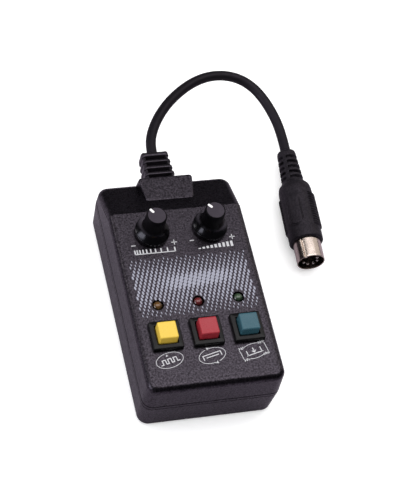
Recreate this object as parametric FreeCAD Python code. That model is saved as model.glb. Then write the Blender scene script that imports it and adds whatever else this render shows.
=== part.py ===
# Hand-held wired timer remote: a moulded two-part case with two rotary controls, three push buttons,
# three indicator lamps, a ribbed cable boot, a short looped lead and a keyed round five-pin plug.
# Frame: millimetres, +Z up through the control panel, +Y towards the cable end, +X to the right.
# Origin: centre of the back case's resting face.
import FreeCAD, Part
import math
import os

Vector = FreeCAD.Vector
os.makedirs("parts", exist_ok=True)

# ---------------------------------------------------------------- driving dimensions
CASE_W = 64.0            # width at the parting line
CASE_L = 112.0           # length at the parting line
HALF_W, HALF_L = CASE_W / 2, CASE_L / 2
Z_PART = 16.5            # parting plane
Z_PANEL = 33.0           # control panel face
CORNER_R = 5.0           # plan corner radius
INNER_R = CORNER_R - 1.5   # plan corner radius of the cavities
DRAFT_B = 0.8            # how far the bottom is inset by draft
DRAFT_T = 0.5            # how far the top is inset by draft
WALL = 2.2
PANEL_T = 2.4
CEILING = Z_PANEL - PANEL_T   # underside of the panel
FLOOR_T = 2.2
REVEAL = 0.4             # shadow gap round the parting line
TOP_R = 3.2              # radius round the panel
BOTTOM_R = 1.8
CREASE_Y = 35.4          # where the panel breaks into the sloping shoulder
SLOPE = 0.427            # fall of the shoulder per mm
HOOD_Z = 29.8            # top of the cable hood

CASE_SCREWS = [(x, y) for y in (-48.3, 45.6) for x in (-25.0, 25.0)]
PCB_SCREWS = [(x, y) for y in (-39.0, 34.4) for x in (-24.6, 24.6)]
PCB_Z0, PCB_T = 16.4, 1.6
PCB_Z1 = PCB_Z0 + PCB_T
PIN_END = PCB_Z0 - 1.3   # lower end of pot, switch and lamp terminals
LEG_END = PCB_Z0 - 1.2   # lower end of the other parts' legs

KNOB_Y = 24.1
KNOB_H = 15.2
CONTROLS = [("interval", -13.7, 35.5), ("output", 13.7, 41.0)]   # name, x, pointer angle
CONTROL_XS = [x for _, x, _ in CONTROLS]

BUTTON_Y, BUTTON_PITCH = -29.3, 18.7
BUTTONS = [("timer", -BUTTON_PITCH), ("continuous", 0.0), ("manual", BUTTON_PITCH)]   # name, x
BUTTON_XS = [x for _, x in BUTTONS]
BEZEL = 14.0             # side of the square bezel
CAP = 8.3                # side of the square button cap
CAP_H = 6.8
LAMP_Y = -13.2           # each lamp stands above its button
LAMP_R = 2.5

BOOT_Z = 18.5            # height of the cable boot's axis
CABLE_R = 2.45
CABLE_Y0 = 46.0          # end of the cable inside the case
PLUG_X, PLUG_Z = 69.3, 8.4
PLUG_Y0 = 76.0           # cable end of the plug
PLUG_ROLL = 36.0         # how far the plug's key is rolled towards -X
PLUG_SWING = 2.8         # how far the plug's tip is swung towards the case
BEND_AT = 2.5            # distance of the plug's bend point beyond its cable end
SWING = math.radians(PLUG_SWING)
PLUG_DIR = Vector(-math.sin(SWING), -math.cos(SWING), 0)   # from cable end to tip
CASE_HINGE = Vector(0, 76.5, BOOT_Z)
PLUG_HINGE = Vector(PLUG_X - BEND_AT * PLUG_DIR.x, PLUG_Y0 - BEND_AT * PLUG_DIR.y, PLUG_Z)

pcb_holes = []           # (x, y, radius), added as each board part is made


# ---------------------------------------------------------------- helpers
def box(x0, x1, y0, y1, z0, z1):
    return Part.makeBox(x1 - x0, y1 - y0, z1 - z0, Vector(x0, y0, z0))


def block(x, y, half_x, half_y, z0, z1):
    """Box centred on x, y."""
    return box(x - half_x, x + half_x, y - half_y, y + half_y, z0, z1)


def cylinder(x, y, z0, z1, r):
    return Part.makeCylinder(r, z1 - z0, Vector(x, y, z0))


def cone(x, y, z0, z1, r0, r1):
    return Part.makeCone(r0, r1, z1 - z0, Vector(x, y, z0))


def polygon(points):
    return Part.makePolygon(points + points[:1])


def rounded_wire(half_x, half_y, r, z, x=0.0, y=0.0):
    """Rounded rectangle in a horizontal plane, centred on x, y."""
    def point(dx, dy):
        return Vector(x + dx, y + dy, z)

    middle = r * math.sqrt(0.5)
    edges = []
    last = point(half_x, r - half_y)
    for sx, sy in ((1, 1), (-1, 1), (-1, -1), (1, -1)):
        start = point(sx * half_x, sy * (half_y - r))
        end = point(sx * (half_x - r), sy * half_y)
        if sx != sy:
            start, end = end, start
        mid = point(sx * (half_x - r + middle), sy * (half_y - r + middle))
        edges.append(Part.makeLine(last, start))
        edges.append(Part.Arc(start, mid, end).toShape())
        last = end
    return Part.Wire(edges)


def rounded_prism(half_x, half_y, r, z0, z1, x=0.0, y=0.0):
    face = Part.Face(rounded_wire(half_x, half_y, r, z0, x, y))
    return face.extrude(Vector(0, 0, z1 - z0))


def loft(*wires):
    return Part.makeLoft(list(wires), True, True)


def fuse(first, *others):
    shape = first.fuse(list(others))
    try:
        shape = shape.removeSplitter()
    except Exception:
        pass   # merging coplanar faces can fail; the plain union is still sound
    return shape


def cut(shape, *tools):
    for tool in tools:
        shape = shape.cut(tool)
    return shape


def offsets(rows, base):
    """(radius, height) rows with the heights measured from base."""
    return [(r, base + h) for r, h in rows]


def revolve(profile):
    """Turn a closed outline of (radius, z) points about the Z axis."""
    face = Part.Face(polygon([Vector(r, 0, z) for r, z in profile]))
    return face.revolve(Vector(0, 0, 0), Vector(0, 0, 1), 360)


def turn(shape, angle):
    shape.rotate(Vector(0, 0, 0), Vector(0, 0, 1), angle)
    return shape


def shift(shape, x, y, z=0.0):
    shape.translate(Vector(x, y, z))
    return shape


def at_height(z):
    """Test for edges that lie level at z."""
    return lambda edge: all(abs(v.Z - z) < 0.01 for v in edge.Vertexes)


def fillet_where(shape, radius, test):
    return shape.makeFillet(radius, [e for e in shape.Edges if test(e)])


def fillet_rim(shape, radius, z):
    """Round the circular edge at height z."""
    level = at_height(z)
    rims = [e for e in shape.Edges if level(e) and len(e.Vertexes) == 1]
    return shape.makeFillet(radius, rims[:1])


def as_solid(shape):
    """A pipe may come back as a bare shell, which is then closed into a solid."""
    return shape.Solids[0] if shape.Solids else Part.Solid(shape)


def wire_tube(points, r):
    """Round tube along a smooth curve through the points."""
    curve = Part.BSplineCurve()
    curve.interpolate([Vector(*p) for p in points])
    start = curve.FirstParameter
    circle = Part.makeCircle(r, curve.value(start), curve.tangent(start)[0])
    path = Part.Wire([curve.toShape()])
    return as_solid(path.makePipeShell([Part.Wire([circle])], True, False))


def export(name, *shapes):
    solids = [solid for shape in shapes for solid in shape.Solids]
    if not solids:
        raise RuntimeError("no solid in " + name)
    out = solids[0] if len(solids) == 1 else Part.makeCompound(solids)
    out.exportStep("parts/%s.step" % name)


# ---------------------------------------------------------------- case
BACK_TOP = Z_PART - REVEAL / 2
FRONT_BOTTOM = Z_PART + REVEAL / 2
HOOD_Y = 43.0            # where the hood's half width is HOOD_HALF
HOOD_HALF = 11.2
HOOD_HALF_END = 13.0     # half width at the cable end
HOOD_FLARE = 0.9         # extra half width at the hood's foot


def case_wire(inset, r, z):
    return rounded_wire(HALF_W - inset, HALF_L - inset, r, z)


def case_prism(inset, z0, z1):
    return rounded_prism(HALF_W - inset, HALF_L - inset, CORNER_R - inset, z0, z1)


def boot_opening():
    """Slot through the cable-end wall that holds the boot's neck."""
    return box(-6.6, 6.6, HALF_L - 6.0, HALF_L + 2, BOOT_Z - 4.9, BOOT_Z + 4.9)


def back_case():
    outer = loft(case_wire(DRAFT_B, CORNER_R, 0), case_wire(0, CORNER_R, BACK_TOP))
    outer = fillet_where(outer, BOTTOM_R, at_height(0))
    inner = loft(
        case_wire(DRAFT_B + WALL, INNER_R, FLOOR_T),
        case_wire(WALL, INNER_R, BACK_TOP + 3),
    )
    tongue = case_prism(1.2, BACK_TOP - 1.0, BACK_TOP + 2.2)
    case = cut(fuse(outer, tongue), inner)
    # screw posts and floor ribs
    posts = [cylinder(x, y, FLOOR_T - 0.5, Z_PART - 0.3, 3.9) for x, y in CASE_SCREWS]
    rib_half, rib_z0, rib_z1 = 0.7, FLOOR_T - 0.3, FLOOR_T + 2.5
    ribs = [block(0, y, 27.0, rib_half, rib_z0, rib_z1) for y in (-24.0, 6.0, 34.0)]
    ribs += [block(x, 0, rib_half, 40.0, rib_z0, rib_z1) for x in (-14.0, 14.0)]
    case = fuse(case, *posts, *ribs)
    for x, y in CASE_SCREWS:   # clearance hole and head counterbore
        case = cut(case, cylinder(x, y, -1, Z_PART, 1.7), cylinder(x, y, -1, 6.0, 3.2))
    label_recess = rounded_prism(19.0, 11.0, 1.5, -0.5, 0.35, 0, -21.0)
    return cut(case, boot_opening(), label_recess)


def shoulder_z(y):
    """Height of the sloping shoulder plane."""
    return Z_PANEL - (y - CREASE_Y) * SLOPE


def above_shoulder(crease_z):
    """Block above a plane with the shoulder's slope that passes the crease at crease_z."""
    knife = Part.makeBox(200, 300, 80, Vector(-100, -150, 0))
    knife.rotate(Vector(0, 0, 0), Vector(1, 0, 0), -math.degrees(math.atan(SLOPE)))
    return shift(knife, 0, CREASE_Y, crease_z)


def front_outer():
    base = case_wire(0, CORNER_R, FRONT_BOTTOM)
    level = loft(base, case_wire(DRAFT_T, CORNER_R, Z_PANEL))
    level = fillet_where(level, TOP_R, at_height(Z_PANEL))
    # the same walls carried higher, cut by the shoulder plane and rounded along that cut
    tall_z = Z_PANEL + 24
    tall_inset = DRAFT_T * (tall_z - FRONT_BOTTOM) / (Z_PANEL - FRONT_BOTTOM)
    tall = loft(
        case_wire(0, CORNER_R, FRONT_BOTTOM),
        case_wire(tall_inset, CORNER_R, tall_z),
    )
    tilted = tall.cut(above_shoulder(Z_PANEL))

    def on_slope(edge):
        return all(abs(v.Z - shoulder_z(v.Y)) < 0.02 for v in edge.Vertexes)

    return level.common(fillet_where(tilted, TOP_R, on_slope))


def hood(inset, z_low, z_top, y_start, y_end):
    """The cable hood: a wedge with a level top that grows out of the shoulder."""
    end = HOOD_HALF_END - inset
    start = HOOD_HALF - inset
    start += (y_start - HOOD_Y) * (end - start) / (y_end - HOOD_Y)

    def outline(flare, y_far, z):
        return polygon([
            Vector(-start - flare, y_start, z), Vector(start + flare, y_start, z),
            Vector(end + flare, y_far, z), Vector(-end - flare, y_far, z),
        ])

    return loft(outline(HOOD_FLARE, y_end, z_low), outline(0.0, y_end - 0.15, z_top))


def hood_outer():
    shape = hood(0.0, 21.0, HOOD_Z, CREASE_Y + 7.4, HALF_L - 0.1)
    shape = fillet_where(shape, 1.5, lambda e: abs(e.Vertexes[0].Z - e.Vertexes[-1].Z) > 2)
    return fillet_where(shape, 0.7, at_height(HOOD_Z))


def hood_cavity():
    y_end = HALF_L - DRAFT_T - WALL + 0.1
    shape = hood(2.2, 19.0, HOOD_Z - 2.2, CREASE_Y + 4.0, y_end)
    return shape.common(box(-20, 20, 44.0, 60, 15, 40))


def front_cavity():
    level = loft(
        case_wire(WALL, INNER_R, FRONT_BOTTOM - 2),
        case_wire(DRAFT_T + WALL, INNER_R, CEILING),
    )
    return level.cut(above_shoulder(Z_PANEL - PANEL_T * math.sqrt(1 + SLOPE * SLOPE)))


def front_case():
    outer = fuse(front_outer(), hood_outer())
    rebate = case_prism(1.1, FRONT_BOTTOM - 2, Z_PART + 2.15)   # takes the back case's tongue
    case = cut(outer, front_cavity(), hood_cavity(), rebate)
    # screw posts, and ribs between the switch bodies
    added = []
    for x, y in CASE_SCREWS:
        roof = min(Z_PANEL, shoulder_z(y))
        added.append(cylinder(x, y, Z_PART, roof - 1.0, 3.7).common(outer))
    for x, y in PCB_SCREWS:
        added.append(cylinder(x, y, PCB_Z1, CEILING + 0.5, 2.9))
    for x in (-9.35, 9.35):
        added.append(box(x - 0.6, x + 0.6, -38.0, -20.0, CEILING - 2.4, CEILING + 0.4))
    case = fuse(case, *added)
    # pilot holes
    for x, y in CASE_SCREWS:
        roof = min(Z_PANEL, shoulder_z(y))
        case = cut(case, cylinder(x, y, Z_PART - 1, roof - 5.5, 1.35))
    for x, y in PCB_SCREWS:
        case = cut(case, cylinder(x, y, PCB_Z1 - 1, PCB_Z1 + 8.0, 1.05))
    # button and lamp openings
    for x in BUTTON_XS:
        case = cut(
            case,
            block(x, BUTTON_Y, 5.8, 5.8, CEILING - 3, Z_PANEL + 2),
            cylinder(x, LAMP_Y, CEILING - 3, Z_PANEL + 2, 2.7),
        )
    # bushing holes, each with a blind slot for the pot's tab
    for x in CONTROL_XS:
        case = cut(
            case,
            cylinder(x, KNOB_Y, CEILING - 2, Z_PANEL + 2, 3.6),
            box(x - 1.4, x + 1.4, KNOB_Y + 6.6, KNOB_Y + 8.4, CEILING - 1, CEILING + 1.1),
        )
    return cut(case, boot_opening())


def pan_screw(x, y, z, head_r, head_h, shank_r, length):
    """Self-tapping screw with a cross recess; its head starts at z and it points +Z."""
    neck = z + head_h
    head = fillet_rim(cylinder(x, y, z, neck, head_r), head_h * 0.45, z)
    end = neck + length
    taper = end - shank_r * 1.2
    shank = cylinder(x, y, neck, taper, shank_r)
    tip = cone(x, y, taper, end, shank_r, shank_r * 0.25)
    arm, slot_half = head_r * 0.55, 0.3
    recess_z = z + head_h * 0.55
    return cut(
        fuse(head, shank, tip),
        block(x, y, arm, slot_half, z - 1, recess_z),
        block(x, y, slot_half, arm, z - 1, recess_z),
    )


def case_screw(x, y):
    length = 18.0 if y < 0 else 13.5   # shorter under the shoulder
    return pan_screw(x, y, z=3.8, head_r=2.8, head_h=2.2, shank_r=1.3, length=length)


def pcb_screw(x, y):
    head_h = 1.7
    return pan_screw(x, y, z=PCB_Z0 - head_h, head_r=2.2, head_h=head_h,
                     shank_r=1.0, length=PCB_T + 6.0)


export("back_case", back_case())
export("front_case", front_case())
export("case_screws", *[case_screw(x, y) for x, y in CASE_SCREWS])
export("pcb_screws", *[pcb_screw(x, y) for x, y in PCB_SCREWS])


# ---------------------------------------------------------------- rotary controls
KNOB_Z0 = Z_PANEL + 0.6
KNOB_Z1 = Z_PANEL + KNOB_H
# outline of the turned blank: (radius, height above the knob's underside)
KNOB_SKIRT = [
    (0.0, 0.0), (7.75, 0.0), (8.0, 0.25), (8.0, 1.15), (7.85, 1.4), (7.35, 1.75),
    (6.7, 2.45), (6.1, 3.35), (5.62, 4.3), (5.3, 5.2), (5.1, 6.0),
]
# (radius, height relative to the knob's nominal top)
KNOB_GRIP = [
    (4.75, -1.1), (4.62, -0.55), (4.3, -0.2), (4.0, -0.2), (3.9, -0.32), (0.0, -0.32),
]
SHAFT_TOP = Z_PANEL + 12.5
POT_R = 8.2
POT_Z0, POT_Z1 = 22.4, 29.4      # sheet can
WAFER_Z0, WAFER_Z1 = 24.2, 25.45
ROTOR_Z0, ROTOR_Z1 = 26.1, 27.2
BUSHING_TOP = Z_PANEL + 4.6


def shaft_flat(y, z, angle):
    """Block that cuts the flat of a D section at distance y from the axis."""
    return turn(box(-4, 4, y, 4, z, Z_PANEL + 14), angle)


def knob(x, angle):
    blank = revolve(offsets(KNOB_SKIRT, KNOB_Z0) + offsets(KNOB_GRIP, KNOB_Z1))
    under = KNOB_Z0 - 1
    nut_space = cylinder(0, 0, under, Z_PANEL + 3.1, 6.7)
    bore = cylinder(0, 0, under, Z_PANEL + 12.7, 3.03)
    d_bore = bore.cut(shaft_flat(1.56, Z_PANEL + 5.0, angle))
    bushing_space = cylinder(0, 0, under, Z_PANEL + 4.9, 3.75)
    pointer_slot = turn(box(-0.52, 0.52, 1.55, 4.45, KNOB_Z1 - 0.9, KNOB_Z1 - 0.05), angle)
    return shift(cut(blank, nut_space, d_bore, bushing_space, pointer_slot), x, KNOB_Y)


def pointer(x, angle):
    top = KNOB_Z1 - 0.1
    bar = box(-0.5, 0.5, 1.57, 4.42, KNOB_Z1 - 0.88, top)
    bar = fillet_where(bar, 0.12, at_height(top))
    return shift(turn(bar, angle), x, KNOB_Y)


def pot_shaft(x, angle):
    shaft = cylinder(0, 0, ROTOR_Z1, SHAFT_TOP, 3.0)
    groove = cylinder(0, 0, 28.0, 28.6, 4.0).cut(cylinder(0, 0, 27.9, 28.7, 2.5))
    shaft = cut(shaft, shaft_flat(1.5, Z_PANEL + 4.9, angle), groove)
    on_top = at_height(SHAFT_TOP)
    shaft = shaft.makeChamfer(0.4, [e for e in shaft.Edges if on_top(e)])
    return shift(shaft, x, KNOB_Y)


def pot_rotor(x, angle):
    disc = cylinder(0, 0, ROTOR_Z0, ROTOR_Z1, 6.4)
    boss = cylinder(0, 0, 25.6, ROTOR_Z0, 2.0)
    wiper = box(-0.9, 0.9, 2.6, 5.6, 25.5, ROTOR_Z0)
    return shift(turn(fuse(disc, boss, wiper), angle), x, KNOB_Y)


def pot_can(x):
    return cut(
        cylinder(x, KNOB_Y, POT_Z0, POT_Z1, POT_R),
        cylinder(x, KNOB_Y, 22.9, 30, 7.75),
        box(x - 6.4, x + 6.4, KNOB_Y - 9, KNOB_Y - 4.5, 23.8, 25.7),   # wafer window
        cylinder(x, KNOB_Y, 22, 23, 1.2),
    )


def pot_bushing(x):
    plate = cylinder(x, KNOB_Y, POT_Z1, 30.5, POT_R)
    tab = box(x - 1.2, x + 1.2, KNOB_Y + 6.8, KNOB_Y + 8.0, 30.0, CEILING + 0.9)
    barrel = cylinder(x, KNOB_Y, POT_Z1, BUSHING_TOP, 3.45)
    # thread shown as plain rings
    rings = []
    for i in range(5):
        z = Z_PANEL + 0.5 + i * 0.75
        core = cylinder(x, KNOB_Y, Z_PANEL, Z_PANEL + 6, 3.2)
        rings.append(cylinder(x, KNOB_Y, z, z + 0.3, 4).cut(core))
    shape = fuse(plate, tab, barrel).cut(rings)
    return cut(shape, cylinder(x, KNOB_Y, 29, Z_PANEL + 6, 3.06))


def pot_wafer(x):
    disc = cylinder(x, KNOB_Y, WAFER_Z0, WAFER_Z1, 7.65)
    tail = box(x - 5.6, x + 5.6, KNOB_Y - 9.4, KNOB_Y - 4.0, WAFER_Z0, WAFER_Z1)
    return fuse(disc, tail).cut(cylinder(x, KNOB_Y, 24, 26, 2.2))


def pot_nut(x):
    z0, z1 = Z_PANEL + 0.55, Z_PANEL + 2.55
    corner_r = 10.0 / math.sqrt(3)   # 10 mm across the flats
    angles = [math.radians(60 * i + 15) for i in range(6)]
    corners = [
        Vector(x + corner_r * math.cos(a), KNOB_Y + corner_r * math.sin(a), z0) for a in angles
    ]
    hexagon = Part.Face(polygon(corners)).extrude(Vector(0, 0, z1 - z0))
    return hexagon.cut(cylinder(x, KNOB_Y, z0 - 1, z1 + 1, 3.5))


def pot_washer(x):
    disc = cylinder(x, KNOB_Y, Z_PANEL, Z_PANEL + 0.5, 6.0)
    return disc.cut(cylinder(x, KNOB_Y, Z_PANEL - 1, Z_PANEL + 1, 3.6))


def pot_terminal(x):
    """Strip under the wafer that turns down through the board."""
    pin_y = KNOB_Y - 10.6
    pcb_holes.append((x, pin_y, 0.62))
    return fuse(
        box(x - 0.5, x + 0.5, pin_y - 0.2, KNOB_Y - 8.4, 23.7, WAFER_Z0),
        block(x, pin_y, 0.5, 0.2, PIN_END, 23.9),
    )


for name, x, angle in CONTROLS:
    export(name + "_knob", knob(x, angle))
    export(name + "_knob_pointer", pointer(x, angle))
    export(name + "_pot_shaft", pot_shaft(x, angle))
    export(name + "_pot_rotor", pot_rotor(x, angle))
export("pot_cans", *[pot_can(x) for x in CONTROL_XS])
export("pot_bushings", *[pot_bushing(x) for x in CONTROL_XS])
export("pot_wafers", *[pot_wafer(x) for x in CONTROL_XS])
export("pot_nuts", *[pot_nut(x) for x in CONTROL_XS])
export("pot_washers", *[pot_washer(x) for x in CONTROL_XS])
export("pot_terminals", *[pot_terminal(x + dx) for x in CONTROL_XS for dx in (-5.0, 0.0, 5.0)])


# ---------------------------------------------------------------- push buttons
CAP_TOP = Z_PANEL + CAP_H
PLUNGER_TOP = CAP_TOP - 1.45
BRIDGE_Z0, BRIDGE_Z1 = 24.75, 25.0      # contact bars, under the plunger's flange
FLANGE_Z1 = 26.6
SWITCH_PINS = [(-3.3, -2.9), (3.3, -2.9), (-3.3, 2.9), (3.3, 2.9)]


def bezel(x):
    # (half side, corner radius, height above the panel)
    levels = [
        (BEZEL / 2, 0.7, 0.0), (BEZEL / 2 - 0.08, 0.7, 1.95), (BEZEL / 2 - 0.5, 0.6, 2.3),
        (4.9, 0.5, 2.55),
    ]
    wires = [rounded_wire(half, half, r, Z_PANEL + h, x, BUTTON_Y) for half, r, h in levels]
    layers = [loft(lower, upper) for lower, upper in zip(wires, wires[1:])]
    collar = rounded_prism(5.7, 5.7, 0.4, CEILING - 0.6, Z_PANEL + 0.2, x, BUTTON_Y)
    shape = fuse(*layers, collar)
    # latch ledges that hook under the panel
    for side in (-1, 1):
        ledge = block(x + side * 5.9, BUTTON_Y, 0.35, 2, CEILING - 0.6, CEILING - 0.1)
        shape = fuse(shape, ledge)
    return cut(shape, rounded_prism(4.55, 4.55, 0.4, CEILING - 2, Z_PANEL + 5, x, BUTTON_Y))


def button_cap(x):
    z0 = Z_PANEL + 0.45
    half, foot = CAP / 2, CAP / 2 + 0.12
    cap = loft(
        rounded_wire(foot, foot, 0.8, z0, x, BUTTON_Y),
        rounded_wire(half, half, 0.8, CAP_TOP, x, BUTTON_Y),
    )
    cap = fillet_where(cap, 0.5, at_height(CAP_TOP))
    return cut(cap, rounded_prism(3.1, 3.1, 0.3, z0 - 1, CAP_TOP - 1.4, x, BUTTON_Y))


def plunger(x):
    stem = rounded_prism(2.75, 2.75, 0.4, FLANGE_Z1, PLUNGER_TOP, x, BUTTON_Y)
    head = rounded_prism(3.0, 3.0, 0.4, Z_PANEL - 0.2, PLUNGER_TOP, x, BUTTON_Y)
    flange = rounded_prism(3.9, 3.9, 0.5, BRIDGE_Z1, FLANGE_Z1, x, BUTTON_Y)
    peg = cylinder(x, BUTTON_Y, 22.6, BRIDGE_Z1, 1.8)
    return fuse(stem, head, flange, peg)


def switch_housing(x):
    housing = cut(
        rounded_prism(6.0, 6.0, 0.5, PCB_Z1, 28.2, x, BUTTON_Y),
        rounded_prism(4.15, 4.15, 0.3, 19.2, 26.85, x, BUTTON_Y),
        rounded_prism(2.95, 2.95, 0.4, 26, 29, x, BUTTON_Y),
    )
    for dx, dy in SWITCH_PINS:
        housing = housing.cut(block(x + dx, BUTTON_Y + dy, 0.5, 0.3, PCB_Z1 - 1, 20))
    # notches midway along the left and right sides
    for side in (-1, 1):
        housing = housing.cut(block(x + side * 6.0, BUTTON_Y, 0.8, 1.4, 24.5, 26.5))
    return housing


def contact_bridge(x):
    """Sprung bridge under the plunger's flange that closes the two contact pairs."""
    bars = [block(x, BUTTON_Y + dy, 3.7, 0.35, BRIDGE_Z0, BRIDGE_Z1) for dy in (3.0, -3.0)]
    legs = [
        block(x + sx * 3.3, BUTTON_Y + sy * 2.9, 0.35, 0.35, 22.4, BRIDGE_Z0)
        for sx in (-1, 1) for sy in (-1, 1)
    ]
    return fuse(fuse(*bars), *legs)


def coil(x, y, z0, z1, mean_r, wire_r, turns, sides):
    """Compression spring; the wire has a many-sided section of the same area as a round one."""
    height = z1 - z0 - 2 * wire_r
    pitch = height / turns
    helix = shift(Part.makeHelix(pitch, height, mean_r), 0, 0, z0 + wire_r)
    step = 2 * math.pi / sides
    section_r = wire_r * math.sqrt(math.pi / (sides / 2 * math.sin(step)))
    tangent = Vector(0, 1, pitch / (2 * math.pi * mean_r))
    tangent.normalize()
    across = Vector(1, 0, 0)
    along = tangent.cross(across)
    centre = Vector(mean_r, 0, z0 + wire_r)
    section = polygon([
        centre + across * (section_r * math.cos(step * i)) + along * (section_r * math.sin(step * i))
        for i in range(sides)
    ])
    pipe = Part.Wire(helix.Edges).makePipeShell([section], True, True)
    return shift(as_solid(pipe), x, y)


def return_spring(x):
    return coil(x, BUTTON_Y, z0=19.25, z1=24.95, mean_r=2.35, wire_r=0.22, turns=5, sides=8)


def switch_terminal(x, y):
    pcb_holes.append((x, y, 0.55))
    return block(x, y, 0.4, 0.2, PIN_END, 19.9)


for name, x in BUTTONS:
    export(name + "_button_cap", button_cap(x))
    export(name + "_switch_plunger", plunger(x))
    export(name + "_contact_bridge", contact_bridge(x))
    export(name + "_return_spring", return_spring(x))
export("button_bezels", *[bezel(x) for x in BUTTON_XS])
export("switch_housings", *[switch_housing(x) for x in BUTTON_XS])
export("switch_terminals", *[
    switch_terminal(x + dx, BUTTON_Y + dy) for x in BUTTON_XS for dx, dy in SWITCH_PINS
])


# ---------------------------------------------------------------- indicator lamps
LAMP_Z0 = 25.0           # underside of the lamp's flange


def lamp(x):
    dome_z = Z_PANEL + 0.8 - LAMP_R
    body = cylinder(x, LAMP_Y, LAMP_Z0 + 1, dome_z, LAMP_R)
    dome = Part.makeSphere(LAMP_R, Vector(x, LAMP_Y, dome_z))
    flange = cylinder(x, LAMP_Y, LAMP_Z0, LAMP_Z0 + 1, 2.9)
    flat = box(x + 2.55, x + 4, LAMP_Y - 4, LAMP_Y + 4, 24, 27)
    return fuse(body, dome, flange.cut(flat))


def lamp_lead(x):
    pcb_holes.append((x, LAMP_Y, 0.45))
    return block(x, LAMP_Y, 0.25, 0.25, PIN_END, LAMP_Z0)


for name, x in BUTTONS:
    export(name + "_lamp", lamp(x))
export("lamp_leads", *[lamp_lead(x + dx) for x in BUTTON_XS for dx in (-1.27, 1.27)])


# ---------------------------------------------------------------- circuit board and its parts
CHIP_X, CHIP_Y = -9.0, 3.2
CHIP_PAIRS, CHIP_PITCH = 7, 2.54
LEG_R = 0.25
HEADER_Y = 35.0
HEADER_XS = [-5.0, -2.5, 0.0, 2.5, 5.0]
# x, radius, height; all on the chip's centre line
CAPACITORS = [(9.0, 3.15, 11.0), (17.0, 2.5, 11.0), (24.0, 2.5, 11.0), (-24.8, 2.5, 8.0)]


def timing_chip():
    half = (CHIP_PAIRS * CHIP_PITCH + 1.5) / 2
    body = block(CHIP_X, CHIP_Y, half, 3.2, PCB_Z1 + 0.6, PCB_Z1 + 4.0)
    return body.cut(cylinder(CHIP_X - half, CHIP_Y, PCB_Z1 + 3.6, PCB_Z1 + 5, 1.0))


def chip_pin(x, side):
    """Shoulder out of the body, wide drop, narrow tail through the board."""
    y = CHIP_Y + side * 3.8
    pcb_holes.append((x, y, 0.42))
    return fuse(
        block(x, CHIP_Y + side * 3.575, 0.7, 0.375, PCB_Z1 + 2.1, PCB_Z1 + 2.4),
        block(x, y, 0.7, 0.15, PCB_Z1 + 0.1, PCB_Z1 + 2.4),
        block(x, y, 0.25, 0.15, LEG_END, PCB_Z1 + 0.2),
    )


def radial_capacitor(x, y, r, height):
    z0 = PCB_Z1 + 0.2
    can = cylinder(x, y, z0, z0 + height, r)
    groove = cylinder(x, y, PCB_Z1 + 1.4, PCB_Z1 + 1.9, r + 1)
    groove = groove.cut(cylinder(x, y, PCB_Z1 + 1, PCB_Z1 + 2.5, r - 0.25))
    legs = []
    for leg_x in (x - 1.0, x + 1.0):
        legs.append(cylinder(leg_x, y, LEG_END, PCB_Z1 + 0.3, LEG_R))
        pcb_holes.append((leg_x, y, 0.4))
    return fuse(can.cut(groove), *legs)


def axial_part(x, y, r, length, pitch, along_x):
    """Body lying on the board, with bent legs pitch apart."""
    z = PCB_Z1 + r + 0.15
    half = pitch / 2
    x_axis = Vector(1, 0, 0)
    shape = fuse(
        Part.makeCylinder(r, length, Vector(-length / 2, 0, z), x_axis),
        Part.makeCylinder(LEG_R, pitch, Vector(-half, 0, z), x_axis),
        cylinder(-half, 0, LEG_END, z + 0.25, LEG_R),
        cylinder(half, 0, LEG_END, z + 0.25, LEG_R),
    )
    if not along_x:
        turn(shape, 90)
    for offset in (-half, half):
        pcb_holes.append((x + offset, y, 0.4) if along_x else (x, y + offset, 0.4))
    return shift(shape, x, y)


def resistor(x):
    return axial_part(x, -6.4, r=1.1, length=5.2, pitch=10.16, along_x=False)


def diode(x):
    return axial_part(x, 9.9, r=0.9, length=3.4, pitch=7.62, along_x=True)


def transistor(x):
    y = -4.6
    body = cylinder(x, y, PCB_Z1 + 2.0, PCB_Z1 + 6.6, 2.3)
    body = body.cut(box(x - 4, x + 4, y + 1.3, y + 4, PCB_Z1, PCB_Z1 + 9))
    legs = []
    for leg_x in (x - 1.27, x, x + 1.27):
        legs.append(block(leg_x, y, 0.22, 0.22, LEG_END, PCB_Z1 + 2.1))
        pcb_holes.append((leg_x, y, 0.4))
    return fuse(body, *legs)


def lead_header():
    """Open-topped tray with a notch in its +Y wall."""
    tray = cut(
        block(0, HEADER_Y, 7.4, 2.6, PCB_Z1, 24.5),
        block(0, HEADER_Y, 6.75, 1.95, 19.2, 26),
        box(-5.5, 5.5, 36.5, 38.5, 21.5, 26),
    )
    for x in HEADER_XS:
        tray = tray.cut(block(x, HEADER_Y, 0.4, 0.4, PCB_Z1 - 1, 20))
    return tray


def header_pin(x):
    pcb_holes.append((x, HEADER_Y, 0.5))
    return block(x, HEADER_Y, 0.3, 0.3, LEG_END, 22.5)


def lead_socket():
    body = block(0, HEADER_Y, 6.6, 1.8, 19.9, 26.2)
    for x in HEADER_XS:
        body = cut(body, cylinder(x, HEADER_Y, 19, 27, 0.62), cylinder(x, HEADER_Y, 24.6, 27, 0.85))
    return body


def circuit_board():
    board = rounded_prism(28.0, 40.1, 1.5, PCB_Z0, PCB_Z1, 0.0, -2.1)
    holes = pcb_holes + [(x, y, 1.2) for x, y in PCB_SCREWS]
    return board.cut([cylinder(x, y, PCB_Z0 - 1, PCB_Z1 + 1, r) for x, y, r in holes])


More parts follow.
